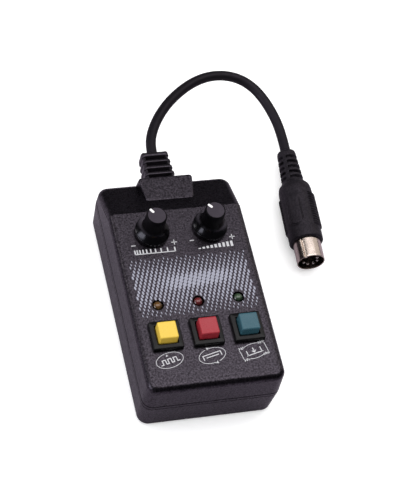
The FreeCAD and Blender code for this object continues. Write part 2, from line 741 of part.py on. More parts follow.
export("timing_chip", timing_chip())
export("timing_chip_pins", *[
    chip_pin(CHIP_X + (i - (CHIP_PAIRS - 1) / 2) * CHIP_PITCH, side)
    for i in range(CHIP_PAIRS) for side in (-1, 1)
])
export("capacitors", *[radial_capacitor(x, CHIP_Y, r, height) for x, r, height in CAPACITORS])
export("resistors", *[resistor(-20.0 + i * 8.0) for i in range(6)])
export("diodes", *[diode(x) for x in (7.0, 20.0)])
export("transistors", *[transistor(x) for x in (-24.8, 24.8)])
export("lead_header", lead_header())
export("lead_header_pins", *[header_pin(x) for x in HEADER_XS])
socket = lead_socket()
export("lead_socket", socket)
export("circuit_board", circuit_board())


# ---------------------------------------------------------------- lead: wires, boot, cable
# where each wire enters the cable: x and z from the cable's axis
WIRE_ENDS = [(-1.19, 0.39), (-0.73, -1.01), (0.0, 1.25), (0.73, -1.01), (1.19, 0.39)]
BOOT_Y0, BOOT_Y1 = 58.3, 74.0           # tapered body of the boot
BOOT_HALF_0, BOOT_HALF_1 = (7.5, 5.5), (6.5, 4.6)   # half x and half z at those ends
# start y, end y, (half x, half z) at the start and at the end, corner radius
BOOT_SECTIONS = [
    (BOOT_Y0, BOOT_Y1, BOOT_HALF_0, BOOT_HALF_1, 1.6),   # body
    (56.1, BOOT_Y0, (7.6, 5.6), BOOT_HALF_0, 1.4),       # flange outside the wall
    (52.5, 56.2, (6.45, 4.75), (6.45, 4.75), 0.8),       # neck through the wall
    (50.6, 52.6, (8.2, 6.2), (8.2, 6.2), 1.0),           # flange inside the wall
    (47.0, 50.7, (4.2, 4.2), (4.2, 4.2), 1.2),           # inner stub
]
BOOT_GAPS = [(58.9, 60.8), (62.5, 64.3), (66.05, 67.9), (69.5, 71.4)]   # y ranges
BALL_R = CABLE_R + 0.07            # ball end on the lead at each flex point
SOCKET_R = BALL_R + 0.09
# stations x, y, z along the looped cable's centre line
LOOP = [
    (CASE_HINGE.x, CASE_HINGE.y, CASE_HINGE.z),
    (CASE_HINGE.x + 0.03, CASE_HINGE.y + 2.0, CASE_HINGE.z),
    (0.99, 83.57, 18.47), (4.45, 91.48, 18.2), (9.35, 98.91, 17.72), (15.29, 105.69, 17.05),
    (22.21, 111.79, 16.23), (29.92, 116.94, 15.31), (38.41, 120.44, 14.32),
    (46.94, 121.3, 13.29), (54.74, 119.28, 12.28), (60.78, 114.46, 11.32),
    (64.82, 107.86, 10.4), (67.4, 100.79, 9.6), (69.02, 93.6, 8.95), (69.6, 86.06, 8.5),
    (PLUG_HINGE.x + 0.11, PLUG_HINGE.y + 2.0, PLUG_HINGE.z),
    (PLUG_HINGE.x, PLUG_HINGE.y, PLUG_HINGE.z),
]


def lead_wire(x, end_x, end_z):
    """One wire, up out of the socket and over to the cable's end."""
    tube = wire_tube([
        (x, HEADER_Y, 23.6), (x, HEADER_Y, 24.8), (x, HEADER_Y, 26.2),
        (x * 0.9, 36.3, 27.6 + end_z * 0.35),
        (x * 0.62, 39.2, 26.6 + end_z * 0.7),
        (x * 0.4 + end_x * 0.4, 41.8, 22.6 + end_z),
        (end_x, 44.2, 19.6 + end_z), (end_x, CABLE_Y0, BOOT_Z + end_z),
    ], 0.5)
    trim = box(-4, 4, CABLE_Y0 - 0.01, 48, BOOT_Z - 4, BOOT_Z + 4)
    return cut(tube, trim, socket)


def boot_wire(half, r, y):
    """Rounded rectangle in a plane normal to Y, centred on the boot axis."""
    wire = rounded_wire(half[0], half[1], r, 0)
    wire.rotate(Vector(0, 0, 0), Vector(1, 0, 0), 90)
    return shift(wire, 0, y, BOOT_Z)


def along_y(y0, length, r):
    """Cylinder on the boot axis."""
    return Part.makeCylinder(r, length, Vector(0, y0, BOOT_Z), Vector(0, 1, 0))


def cable_boot():
    boot = fuse(*[
        loft(boot_wire(start, r, y0), boot_wire(end, r, y1))
        for y0, y1, start, end, r in BOOT_SECTIONS
    ])
    for y0, y1 in BOOT_GAPS:
        taper = ((y0 + y1) / 2 - BOOT_Y0) / (BOOT_Y1 - BOOT_Y0)
        side_x = BOOT_HALF_0[0] + (BOOT_HALF_1[0] - BOOT_HALF_0[0]) * taper
        slot_half = side_x - 1.5
        # slots from above and below, then shallow grooves down both sides
        for z0, z1 in ((BOOT_Z - 9, BOOT_Z - 3.0), (BOOT_Z + 3.0, BOOT_Z + 9)):
            boot = boot.cut(box(-slot_half, slot_half, y0, y1, z0, z1))
        for x in (-side_x, side_x):
            boot = boot.cut(box(x - 0.45, x + 0.45, y0, y1, BOOT_Z - 9, BOOT_Z + 9))
    return boot.cut(along_y(40, 40, CABLE_R + 0.03))


def cable_case_end():
    cable = along_y(CABLE_Y0, CASE_HINGE.y - CABLE_Y0, CABLE_R)
    return cable.cut(Part.makeSphere(SOCKET_R, CASE_HINGE))


def cable_loop():
    balls = [Part.makeSphere(BALL_R, hinge) for hinge in (CASE_HINGE, PLUG_HINGE)]
    return wire_tube(LOOP, CABLE_R).fuse(balls)


export("lead_wires", *[lead_wire(x, *end) for x, end in zip(HEADER_XS, WIRE_ENDS)])
export("cable_boot", cable_boot())
export("cable_case_end", cable_case_end())
export("cable_loop", cable_loop())


# ---------------------------------------------------------------- round plug
# Built along +Z with the key on the +Y side, then laid along -Y beside the case.
GRIP0, GRIP1 = 19.0, 51.4      # grip body, measured from the cable end
TIP = 61.8                     # rim of the metal shell
SHELL_R = 6.6                  # outside radius of the metal shell
SPIGOT_R = 6.1                 # end of that shell held inside the grip
SHELL_T = 0.4
CABLE_END = GRIP0 + 16.5       # end of the cable inside the grip
PIN_ANGLES = [180, 225, 270, 315, 360]      # the arc of pins faces away from the key
PIN_CIRCLE_R = 3.5
PIN_R = 0.725
# grip outline: (radius, height from GRIP0), then (radius, height from GRIP1)
GRIP_REAR = [(0, -0.2), (5.0, -0.2), (6.1, 0.4), (6.9, 1.3), (7.3, 2.8), (7.45, 5)]
GRIP_FRONT = [(7.8, -4), (7.9, -0.9), (7.6, -0.25), (7.25, 0), (0, 0)]


def lay(shape):
    """From the plug's own axis to its place beside the case."""
    turn(shape, PLUG_ROLL)
    shape.rotate(Vector(0, 0, 0), Vector(1, 0, 0), 90)
    turn(shape, -PLUG_SWING)
    return shift(shape, PLUG_X, PLUG_Y0, PLUG_Z)


def polar(r, degrees):
    return r * math.cos(math.radians(degrees)), r * math.sin(math.radians(degrees))


def thumb_pad(half_w, lift, serrated):
    """Raised pad on the +Y side of the grip."""
    z0, z1 = GRIP0 + 7.5, GRIP0 + 25.6
    pad = box(-half_w, half_w, 0, 9.2, z0, z1)

    def runs_outward(edge):
        ends = edge.Vertexes
        return len(ends) == 2 and abs(ends[0].Y - ends[1].Y) > 5

    pad = fillet_where(pad, 2.6, runs_outward)
    pad = pad.common(cone(0, 0, z0 - 1, z1 + 1, 7.42 + lift, 7.72 + lift))
    if serrated:
        for i in range(11):
            z = z0 + 1.7 + i * 1.38
            pad = pad.cut(box(-half_w - 1, half_w + 1, 7.85, 10, z, z + 0.55))
    return pad


def plug_grip():
    relief = fillet_rim(cone(0, 0, 0, 19.5, 4.1, 5.15), 0.6, 0)
    grip = fuse(relief, revolve(offsets(GRIP_REAR, GRIP0) + offsets(GRIP_FRONT, GRIP1)))
    # plain pads in line with the key, serrated pads across it
    for angle in (0, 90, 180, 270):
        if angle in (90, 270):
            pad = thumb_pad(half_w=4.3, lift=0.75, serrated=True)
        else:
            pad = thumb_pad(half_w=3.6, lift=0.35, serrated=False)
        grip = fuse(grip, turn(pad, angle))
    # relief slots, stopped short of two spines in line with the key
    for i in range(5):
        z = 3.8 + i * 3.0
        ring = cut(
            cylinder(0, 0, z, z + 1.2, 7),
            cylinder(0, 0, z - 1, z + 2, 3.15),
            block(0, 0, 0.95, 8, z - 1, z + 2),
        )
        grip = grip.cut(ring)
    # socket for the shell and insulator, wire pocket and cable bore
    return cut(
        grip,
        cylinder(0, 0, GRIP1 - 5.0, GRIP1 + 1, SPIGOT_R + 0.02),
        cylinder(0, 0, GRIP0 + 16.0, GRIP1 - 4.9, 5.0),
        cylinder(0, 0, -1, GRIP0 + 17, CABLE_R + 0.03),
    )


def plug_shell():
    wall = SHELL_T
    step = GRIP1 + 0.4             # where the narrower spigot meets the open length
    tube = fuse(
        cylinder(0, 0, GRIP1 - 4.9, step + wall, SPIGOT_R),
        cylinder(0, 0, step, TIP, SHELL_R),
    )
    tube = cut(
        tube,
        cylinder(0, 0, GRIP1 - 6, step + 2 * wall, SPIGOT_R - wall),
        cylinder(0, 0, step + wall, TIP + 1, SHELL_R - wall),
    )
    # key: a narrow trough pressed into the shell along its open length
    half, floor_y = 0.75, SHELL_R - 1.15
    trough = box(-half, half, floor_y, SHELL_R - wall + 0.02, step + wall / 2, TIP)
    opening = box(wall - half, half - wall, floor_y + wall, SHELL_R + 1, step + wall, TIP + 1)
    return fuse(tube, trough).cut(opening)


def plug_insulator():
    disc_z1 = GRIP1 + 1.6
    shape = fuse(
        cylinder(0, 0, GRIP1 - 3.9, disc_z1, SPIGOT_R - 0.45),
        cylinder(0, 0, GRIP1 + 0.85, disc_z1, SHELL_R - 0.45),
    )
    shape = shape.cut(box(-1.1, 1.1, SHELL_R - 1.3, SHELL_R + 1, GRIP1 - 6, TIP))
    for angle in PIN_ANGLES:
        x, y = polar(PIN_CIRCLE_R, angle)
        shape = shape.cut(cylinder(x, y, GRIP1 - 6, GRIP1 + 3, 0.74))
    return shape


def plug_pin(angle):
    """Round-nosed pin with a hollow rear end for its wire."""
    x, y = polar(PIN_CIRCLE_R, angle)
    nose_z = TIP - 1.55
    pin = fuse(
        cylinder(x, y, GRIP1 - 6.6, nose_z, PIN_R),
        Part.makeSphere(PIN_R, Vector(x, y, nose_z)),
    )
    return pin.cut(cylinder(x, y, GRIP1 - 8, GRIP1 - 5.2, 0.5))


def plug_wire(index, angle):
    """Wire from the cable's end to the pin at the given angle."""
    x, y = polar(PIN_CIRCLE_R, angle)
    start_x, start_y = polar(1.25, 180 + 72 * index)
    return wire_tube([
        (start_x, start_y, CABLE_END + 0.05),
        (start_x * 1.15, start_y * 1.15, CABLE_END + 1.2),
        ((start_x + x) / 2, (start_y + y) / 2, CABLE_END + 4.6),
        (x, y, GRIP1 - 7.6), (x, y, GRIP1 - 5.6),
    ], 0.42)


def cable_plug_end():
    cable = lay(cylinder(0, 0, -BEND_AT, CABLE_END, CABLE_R))
    return cable.cut(Part.makeSphere(SOCKET_R, PLUG_HINGE))


export("plug_grip", lay(plug_grip()))
export("plug_shell", lay(plug_shell()))
export("plug_insulator", lay(plug_insulator()))
export("plug_pins", *[lay(plug_pin(angle)) for angle in PIN_ANGLES])
export("plug_wires", *[lay(plug_wire(i, angle)) for i, angle in enumerate(PIN_ANGLES)])
export("cable_plug_end", cable_plug_end())
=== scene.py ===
"""A small interval controller: a flat black case with two dials, three lamps and three push
buttons on its panel, and a lead that loops round to a round metal-shelled plug.

The case lies on the floor (z = 0) with its panel facing +Z. The dials are towards +Y and the
buttons towards -Y. The lead leaves the +Y end and turns back on the +X side, where the plug
lies beside the case with its tip towards -Y. Geometry is in millimetres and becomes metres
in build(); floor, lights and camera are in metres. Colours are linear RGB.
"""
import math
from math import pi

import bmesh
import bpy
import numpy as np
from mathutils import Matrix, Vector


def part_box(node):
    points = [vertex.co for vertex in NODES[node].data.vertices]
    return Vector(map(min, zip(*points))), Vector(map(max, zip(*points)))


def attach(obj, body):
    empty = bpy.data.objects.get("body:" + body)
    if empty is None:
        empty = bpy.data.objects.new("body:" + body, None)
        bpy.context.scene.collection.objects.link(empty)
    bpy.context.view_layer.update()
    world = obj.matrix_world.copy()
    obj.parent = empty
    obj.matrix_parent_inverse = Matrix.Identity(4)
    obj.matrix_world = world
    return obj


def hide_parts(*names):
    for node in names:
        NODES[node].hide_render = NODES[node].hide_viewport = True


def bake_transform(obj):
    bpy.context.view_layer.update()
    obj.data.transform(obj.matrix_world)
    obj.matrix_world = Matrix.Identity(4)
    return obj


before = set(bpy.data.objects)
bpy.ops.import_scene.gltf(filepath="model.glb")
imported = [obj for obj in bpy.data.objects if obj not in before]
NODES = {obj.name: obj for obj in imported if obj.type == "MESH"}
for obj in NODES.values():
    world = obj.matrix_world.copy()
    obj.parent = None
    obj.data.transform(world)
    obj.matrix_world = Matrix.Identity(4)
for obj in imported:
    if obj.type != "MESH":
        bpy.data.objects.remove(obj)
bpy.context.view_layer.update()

MM = 0.001


# ---------------------------------------------------------------- places read from the frame
def span(node):
    """Lowest and highest corner of a CAD node, in millimetres."""
    low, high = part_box(node)
    return np.array([c * 1000.0 for c in low]), np.array([c * 1000.0 for c in high])


def middle(box):
    return (box[0] + box[1]) / 2


DIALS = ("interval", "output")
BUTTONS = {"timer": "yellow", "continuous": "red", "manual": "green"}     # name: cap colour

Z_PANEL = span("front_case")[1][2]
Z_SEAM = span("back_case")[1][2]
KNOBS = {name: span(name + "_knob") for name in DIALS}
CAPS = {name: span(name + "_button_cap") for name in BUTTONS}
LAMPS = {name: span(name + "_lamp") for name in BUTTONS}
BOOT_Z = middle(span("cable_boot"))[2]

# The plug: where the lead enters its grip, and how it lies
PLUG_X, PLUG_Y, PLUG_Z = 69.3, 76.0, 8.4
PLUG_SWING = math.radians(2.8)          # the tip swings this far towards the case
PLUG_ROLL = math.radians(36.0)          # about its own axis
PLUG_DIR = np.array([-math.sin(PLUG_SWING), -math.cos(PLUG_SWING), 0.0])
PLUG_BEND = np.array([PLUG_X, PLUG_Y, PLUG_Z]) - 2.5 * PLUG_DIR     # the lead bends behind the grip
GRIP_END, SHELL_END = 51.4, 61.8        # distances along the plug


# ---------------------------------------------------------------- shader helpers
def shade(colour, gain=1.0, lift=0.0):
    """RGBA of a colour made brighter or darker."""
    return (*[min(1.0, c * gain + lift) for c in colour], 1.0)


class Shader:
    """A node material around one Principled shader. Values may be numbers or sockets."""

    def __init__(self, name):
        self.material = bpy.data.materials.new(name)
        self.material.use_nodes = True
        self.tree = self.material.node_tree
        self.tree.nodes.clear()
        output = self.add("ShaderNodeOutputMaterial")
        self.principled = self.add("ShaderNodeBsdfPrincipled")
        self.put(output.inputs[0], self.principled.outputs[0])

    def put(self, socket, value):
        if isinstance(value, bpy.types.NodeSocket):
            self.tree.links.new(value, socket)
        else:
            socket.default_value = value

    def add(self, kind, inputs=None, **settings):
        node = self.tree.nodes.new(kind)
        for key, value in settings.items():
            setattr(node, key, value)
        for key, value in (inputs or {}).items():
            self.put(node.inputs[key], value)
        return node

    def surface(self, **values):
        """Sets inputs of the Principled shader; base_color stands for "Base Color"."""
        for key, value in values.items():
            self.put(self.principled.inputs[key.replace("_", " ").title()], value)

    def specular(self, value):
        self.put(self.principled.inputs["Specular IOR Level"], value)

    def coords(self, scale=(1, 1, 1), offset=(0, 0, 0)):
        place = self.add("ShaderNodeTexCoord").outputs["Object"]
        mapping = {"Scale": scale, "Location": offset, "Vector": place}
        return self.add("ShaderNodeMapping", mapping).outputs[0]

    def noise(self, vector, scale, detail=3.0, rough=0.55):
        values = {"Scale": scale, "Detail": detail, "Roughness": rough, "Vector": vector}
        return self.add("ShaderNodeTexNoise", values).outputs["Fac"]

    def remap(self, value, between, to=(0.0, 1.0)):
        return self.add("ShaderNodeMapRange", {
            "From Min": between[0], "From Max": between[1],
            "To Min": to[0], "To Max": to[1], "Value": value,
        }).outputs[0]

    def mix(self, factor, first, second):
        """Colour mix; inputs 0, 6 and 7 are the factor and the two colours."""
        inputs = {6: first, 7: second, 0: factor}
        return self.add("ShaderNodeMix", inputs, data_type="RGBA").outputs[2]

    def math(self, operation, *values):
        return self.add("ShaderNodeMath", dict(enumerate(values)), operation=operation).outputs[0]

    def split(self, vector):
        return self.add("ShaderNodeSeparateXYZ", {0: vector}).outputs

    def geometry(self, output):
        return self.add("ShaderNodeNewGeometry").outputs[output]

    def bump(self, height, depth):
        """Relief of the given depth in millimetres."""
        values = {"Distance": depth * MM, "Strength": 1.0, "Height": height}
        self.surface(normal=self.add("ShaderNodeBump", values).outputs[0])


# ---------------------------------------------------------------- kinds of material
def plastic(name, base, rough, grain, depth, vary=0.18, rough_vary=0.08, speck=0.0, wear=0.25,
            spec=0.5, tint=(1, 1, 1), sparkle=0.0, seam=None, satin=None):
    """Moulded plastic or rubber.

    grain and depth: size and relief of the spark texture, mm. vary, rough_vary: drift of
    colour and gloss. speck: pale specks. wear: scuffed edges. sparkle: uneven highlights.
    seam: (height, width) of a dark joint line on upright faces, mm.
    satin: heights in mm between which the finish turns from polished to satin.
    """
    shader = Shader(name)
    position = shader.coords()
    slow = shader.noise(position, scale=38.0, detail=4.0)
    fine = shader.noise(position, scale=1000.0 / grain, detail=2.0, rough=0.6)
    cloud = shader.noise(position, scale=320.0, rough=0.6)
    drift = shader.remap(slow, between=(0.3, 0.7))
    colour = shader.mix(drift, shade(base, 1 - vary), shade(base, 1 + vary))
    if speck > 0:
        specks = shader.remap(fine, between=(0.60, 0.74), to=(0.0, speck))
        colour = shader.mix(specks, colour, shade(base, gain=2.0, lift=0.006))
    if wear > 0:
        edges = shader.remap(shader.geometry("Pointiness"), between=(0.52, 0.62))
        patches = shader.math("MULTIPLY", shader.remap(cloud, between=(0.35, 0.7)), wear)
        scuffs = shader.math("MULTIPLY", edges, patches)
        colour = shader.mix(scuffs, colour, shade(base, gain=1.4, lift=0.008))
    gloss = shader.remap(cloud, between=(0.3, 0.7), to=(rough - rough_vary, rough + rough_vary))
    level = spec
    if sparkle > 0:        # facets of the spark texture that catch the light or do not
        pits = shader.noise(position, scale=1150.0, detail=2.0, rough=0.75)
        facets = (spec * (1 - sparkle), spec * (1 + sparkle))
        level = shader.remap(pits, between=(0.36, 0.64), to=facets)
    if seam is not None:
        seam_z, width = seam
        height = shader.split(position)[2]
        away = shader.math("ABSOLUTE", shader.math("SUBTRACT", height, seam_z * MM))
        line = shader.remap(away, between=(width * 0.5 * MM, width * MM), to=(1.0, 0.0))
        facing = shader.math("ABSOLUTE", shader.split(shader.geometry("Normal"))[2])
        upright = shader.remap(facing, between=(0.3, 0.6), to=(1.0, 0.0))
        line = shader.math("MULTIPLY", line, upright)
        colour = shader.mix(line, colour, shade(base, gain=0.2))
        keep = shader.math("SUBTRACT", 1.0, shader.math("MULTIPLY", line, 0.93))
        level = shader.math("MULTIPLY", keep, level)
        gloss = shader.math("ADD", gloss, shader.math("MULTIPLY", line, 0.4))
    relief = shader.math("ADD", fine, shader.math("MULTIPLY", cloud, 0.35))
    shader.bump(relief, depth=depth)
    if satin is not None:
        height = shader.split(shader.coords())[2]
        dull = shader.remap(height, between=(satin[0] * MM, satin[1] * MM))
        gloss = shader.math("ADD", gloss, shader.math("MULTIPLY", dull, 0.22))
        level = shader.remap(dull, between=(0.0, 1.0), to=(spec, 0.10))
    shader.surface(base_color=colour, roughness=gloss, specular_tint=shade(tint))
    shader.specular(spec)
    shader.specular(level)
    return shader.material


def metal(name, base, rough, stretch=(1, 1, 1), depth=0.004):
    """Plated or turned metal: fine drawn lines, faint tarnish, varied gloss."""
    vary = 0.12
    shader = Shader(name)
    lines = shader.noise(shader.coords(scale=stretch), scale=2600.0, rough=0.6)
    cloud = shader.noise(shader.coords(), scale=260.0, detail=4.0, rough=0.6)
    tarnish = shader.remap(cloud, between=(0.35, 0.75), to=(0.0, 0.7))
    colour = shader.mix(tarnish, shade(base), shade(base, gain=0.78))
    polish = (rough * (1 - vary), rough * (1 + 2 * vary))
    gloss = shader.math("ADD", shader.remap(cloud, between=(0.3, 0.7), to=polish),
                        shader.remap(lines, between=(0.3, 0.7), to=(0.0, 0.05)))
    shader.surface(base_color=colour, metallic=1.0, roughness=gloss)
    shader.bump(lines, depth=depth)
    return shader.material


def ink(name, base):
    """Screen print: slightly uneven cover, tiny pinholes."""
    shader = Shader(name)
    position = shader.coords()
    cover = shader.noise(position, scale=900.0, rough=0.6)
    holes = shader.noise(position, scale=3200.0, detail=2.0, rough=0.6)
    colour = shader.mix(shader.remap(cover, between=(0.3, 0.7)),
                        shade(base, gain=0.86), shade(base, gain=1.06))
    pinholes = shader.remap(holes, between=(0.62, 0.72), to=(0.0, 0.45))
    colour = shader.mix(pinholes, colour, shade(base, gain=0.45))
    gloss = shader.remap(cover, between=(0.3, 0.7), to=(0.5 - 0.08, 0.5 + 0.08))
    shader.surface(base_color=colour, roughness=gloss)
    shader.bump(holes, depth=0.004)
    return shader.material


def lamp_epoxy(name, body, painted_highlight_tint, centre, radius=2.5):
    """Unlit tinted epoxy lamp: darker towards the rim, which is painted shade, and paler in the
    middle, which is the cup seen inside with a painted highlight on it; a darker chip sits at the
    centre.
    """
    shader = Shader(name)
    place = shader.split(shader.coords(offset=(-centre[0] * MM, -centre[1] * MM, 0.0)))
    x_squared = shader.math("MULTIPLY", place[0], place[0])
    y_squared = shader.math("MULTIPLY", place[1], place[1])
    distance = shader.math("SQRT", shader.math("ADD", x_squared, y_squared))
    position = shader.coords()
    wobble = shader.noise(position, scale=700.0, detail=2.0)
    wobble = shader.math("MULTIPLY", shader.math("SUBTRACT", wobble, 0.5), 0.0009)
    distance = shader.math("ADD", distance, wobble)
    # painted light: the colour fades from the pale middle, a painted highlight, to the darker rim,
    # painted shade
    painted_light_mask = shader.remap(distance, between=(0.25 * radius * MM, 0.80 * radius * MM), to=(1.0, 0.0))
    colour = shader.mix(painted_light_mask, shade(body), shade(painted_highlight_tint))
    chip = shader.remap(distance, between=(0.0, 0.24 * radius * MM), to=(0.75, 0.0))
    colour = shader.mix(chip, colour, shade(painted_highlight_tint, gain=0.55))
    shader.surface(base_color=colour, roughness=0.12, coat_weight=0.6, coat_roughness=0.04)
    shader.bump(shader.noise(position, scale=500.0, detail=2.0), depth=0.01)
    return shader.material


def laminate(name, base):
    """Circuit board laminate with a faint weave."""
    shader = Shader(name)
    position = shader.coords()
    cloud = shader.noise(position, scale=240.0, detail=4.0)
    wave = {"Scale": 420.0, "Distortion": 2.0, "Vector": position}
    weave = shader.add("ShaderNodeTexWave", wave).outputs["Fac"]
    colour = shader.mix(shader.remap(cloud, between=(0.3, 0.7)),
                        shade(base, gain=0.8), shade(base, gain=1.15))
    threads = shader.remap(weave, between=(0.4, 0.6), to=(0.0, 0.15))
    colour = shader.mix(threads, colour, shade(base, gain=1.5, lift=0.02))
    gloss = shader.remap(cloud, between=(0.3, 0.7), to=(0.35, 0.5))
    shader.surface(base_color=colour, roughness=gloss)
    shader.bump(weave, depth=0.01)
    return shader.material


# ---------------------------------------------------------------- the materials
VIOLET = (0.94, 0.82, 1.0)          # cast of the highlights on the black plastic
CAP = dict(rough=0.30, grain=0.7, depth=0.006, wear=0.10, spec=0.35)

MATERIALS = {
    "case": plastic("case_plastic", (0.0016, 0.0013, 0.0019), rough=0.29, grain=0.75,
                    depth=0.055, speck=0.25, wear=0.10, rough_vary=0.03, spec=0.64,
                    tint=VIOLET, sparkle=0.60, seam=(Z_SEAM, 0.42)),
    # the barrel is satin, so the print below does not mirror in it; the cone is polished
    "knob": plastic("knob_plastic", (0.0014, 0.0013, 0.0017), rough=0.21, grain=3.0,
                    depth=0.0004, vary=0.3, wear=0.0, rough_vary=0.012, spec=0.48,
                    tint=(0.92, 0.90, 1.0), satin=(Z_PANEL + 4.6, Z_PANEL + 6.6)),
    "knob_top": plastic("knob_top_disc", (0.020, 0.017, 0.022), rough=0.42, grain=0.30,
                        depth=0.03, speck=0.5, wear=0.1, tint=VIOLET),
    "pointer": plastic("pointer_white", (0.86, 0.85, 0.84), rough=0.35, grain=0.5,
                       depth=0.006, vary=0.03, wear=0.0),
    "bezel": plastic("bezel_plastic", (0.0030, 0.0030, 0.0034), rough=0.34, grain=1.6,
                     depth=0.004, vary=0.3, wear=0.0, spec=0.30, rough_vary=0.04),
    "yellow": plastic("cap_yellow", (0.69, 0.475, 0.062), vary=0.04, **CAP),
    "red": plastic("cap_red", (0.30, 0.024, 0.034), vary=0.06, **CAP),
    "green": plastic("cap_green", (0.030, 0.090, 0.117), vary=0.08, **CAP),
    "switch": plastic("switch_plastic", (0.010, 0.010, 0.010), rough=0.4, grain=0.6, depth=0.01),
    "jacket": plastic("cable_jacket", (0.0044, 0.0042, 0.0052), rough=0.50, grain=0.9,
                      depth=0.012, wear=0.0, spec=0.30, tint=VIOLET),
    "boot": plastic("boot_rubber", (0.0070, 0.0063, 0.0074), rough=0.34, grain=0.5,
                    depth=0.02, wear=0.5, spec=0.72, tint=VIOLET, sparkle=0.25),
    "grip": plastic("grip_rubber", (0.0064, 0.0058, 0.0072), rough=0.50, grain=0.6,
                    depth=0.03, wear=0.20, spec=0.40, tint=VIOLET, sparkle=0.35),
    "insulator": plastic("insulator_plastic", (0.004, 0.004, 0.004), rough=0.4, grain=0.6,
                         depth=0.01),
    "component": plastic("component_black", (0.012, 0.012, 0.013), rough=0.5, grain=0.3,
                         depth=0.02),
    "capacitor": plastic("capacitor_sleeve", (0.015, 0.02, 0.07), rough=0.28, grain=1.2,
                         depth=0.01),
    "resistor": plastic("resistor_body", (0.48, 0.33, 0.16), rough=0.35, grain=0.6,
                        depth=0.02, vary=0.1),
    "header": plastic("header_plastic", (0.68, 0.64, 0.54), rough=0.45, grain=0.5,
                      depth=0.01, vary=0.04),
    "wire": plastic("wire_insulation", (0.16, 0.10, 0.08), rough=0.35, grain=0.8,
                    depth=0.01, vary=0.3),
    "nickel": metal("nickel", (0.80, 0.68, 0.60), rough=0.20, stretch=(1, 0.04, 1),
                    depth=0.0015),
    "steel": metal("steel", (0.56, 0.57, 0.58), rough=0.28),
    "tin": metal("contact_tin", (0.66, 0.60, 0.46), rough=0.3),
    "pin": metal("pin_metal", (0.80, 0.76, 0.70), rough=0.16, depth=0.001),
    "shaft": metal("shaft_alloy", (0.62, 0.62, 0.64), rough=0.25, stretch=(1, 1, 0.05)),
    "spring": metal("spring_steel", (0.5, 0.5, 0.52), rough=0.25),
    "ink": ink("print_ink", (0.55, 0.55, 0.57)),
    "dots": ink("print_dots", (0.31, 0.315, 0.385)),
    "board": laminate("board_laminate", (0.02, 0.12, 0.05)),
    "wafer": laminate("wafer_laminate", (0.28, 0.15, 0.06)),
}
LAMP_COLOURS = {        # lamp: tint at the rim, darkened there as painted shade; paler tint in the middle, a painted highlight
    "timer": ((0.012, 0.008, 0.003), (0.13, 0.062, 0.018)),
    "continuous": ((0.014, 0.002, 0.002), (0.13, 0.018, 0.020)),
    "manual": ((0.003, 0.006, 0.004), (0.045, 0.075, 0.042)),
}
for name, (body, painted_highlight_tint) in LAMP_COLOURS.items():
    MATERIALS["lamp_" + name] = lamp_epoxy("lamp_" + name, body, painted_highlight_tint, middle(LAMPS[name]))

CAD_LOOKS = {           # material: the CAD pieces that wear it
    "case": "back_case front_case",
    "steel": "case_screws pcb_screws pot_cans",
    "bezel": "button_bezels",
    "switch": "switch_housings timer_switch_plunger continuous_switch_plunger"
              " manual_switch_plunger",
    "tin": "switch_terminals pot_terminals lamp_leads timing_chip_pins lead_header_pins"
           " timer_contact_bridge continuous_contact_bridge manual_contact_bridge",
    "nickel": "pot_bushings pot_nuts pot_washers plug_shell",
    "wafer": "pot_wafers",
    "component": "timing_chip diodes transistors interval_pot_rotor output_pot_rotor",
    "capacitor": "capacitors",
    "resistor": "resistors",
    "header": "lead_header lead_socket",
    "board": "circuit_board",
    "wire": "lead_wires plug_wires",
    "boot": "cable_boot",
    "jacket": "cable_case_end cable_loop cable_plug_end",
    "grip": "plug_grip",
    "insulator": "plug_insulator",
    "pin": "plug_pins",
    "lamp_timer": "timer_lamp",
    "lamp_continuous": "continuous_lamp",
    "lamp_manual": "manual_lamp",
    "knob": "interval_knob output_knob",
    "pointer": "interval_knob_pointer output_knob_pointer",
    "shaft": "interval_pot_shaft output_pot_shaft",
    "yellow": "timer_button_cap",
    "red": "continuous_button_cap",
    "green": "manual_button_cap",
    "spring": "timer_return_spring continuous_return_spring manual_return_spring",
}
LOOK_OF = {piece: look for look, pieces in CAD_LOOKS.items() for piece in pieces.split()}
for name, node in NODES.items():
    node.data.materials.clear()
    node.data.materials.append(MATERIALS[LOOK_OF[name]])


# ---------------------------------------------------------------- mesh helpers (millimetres)
def build(name, surface, material, sharp=None):
    """Mesh object from (vertices, faces); smooth with edges kept above `sharp` degrees, or flat."""
    verts, faces = surface
    mesh = bpy.data.meshes.new(name)
    mesh.from_pydata([tuple(c * MM for c in v) for v in verts], [], faces)
    mesh.update()
    bm = bmesh.new()
    bm.from_mesh(mesh)
    bmesh.ops.remove_doubles(bm, verts=bm.verts, dist=1e-7)
    bmesh.ops.recalc_face_normals(bm, faces=bm.faces)
    bm.to_mesh(mesh)
    bm.free()
    piece = bpy.data.objects.new(name, mesh)
    bpy.context.scene.collection.objects.link(piece)
    mesh.materials.append(MATERIALS[material])
    if sharp is not None:
        mesh.polygons.foreach_set("use_smooth", [True] * len(mesh.polygons))
        mesh.set_sharp_from_angle(angle=math.radians(sharp))
    return piece


def fix(piece, body, slot, *replaced):
    """The piece moves with a body and stands in for CAD pieces; the slot argument is not used."""
    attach(piece, body)
    if replaced:
        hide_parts(*replaced)


def skin(rings, loop=False):
    """Closed surface through rings[i][j]; ends are fans to the ring's centre unless it loops."""
    rings = np.asarray(rings, float)
    count, around, _ = rings.shape
    verts = rings.reshape(-1, 3).tolist()
    faces = []
    for i in range(count if loop else count - 1):
        a, b = i * around, ((i + 1) % count) * around
        for j in range(around):
            k = (j + 1) % around
            faces.append((a + j, a + k, b + k, b + j))
    if not loop:
        for end in (0, count - 1):
            verts.append(rings[end].mean(0).tolist())
            hub = len(verts) - 1
            for j in range(around):
                k = (j + 1) % around
                faces.append((end * around + j, end * around + k, hub))
    return verts, faces


def level(points, z, cx=0.0, cy=0.0):
    """Flat points moved to a centre and a height."""
    return np.c_[points[:, 0] + cx, points[:, 1] + cy, np.full(len(points), z)]


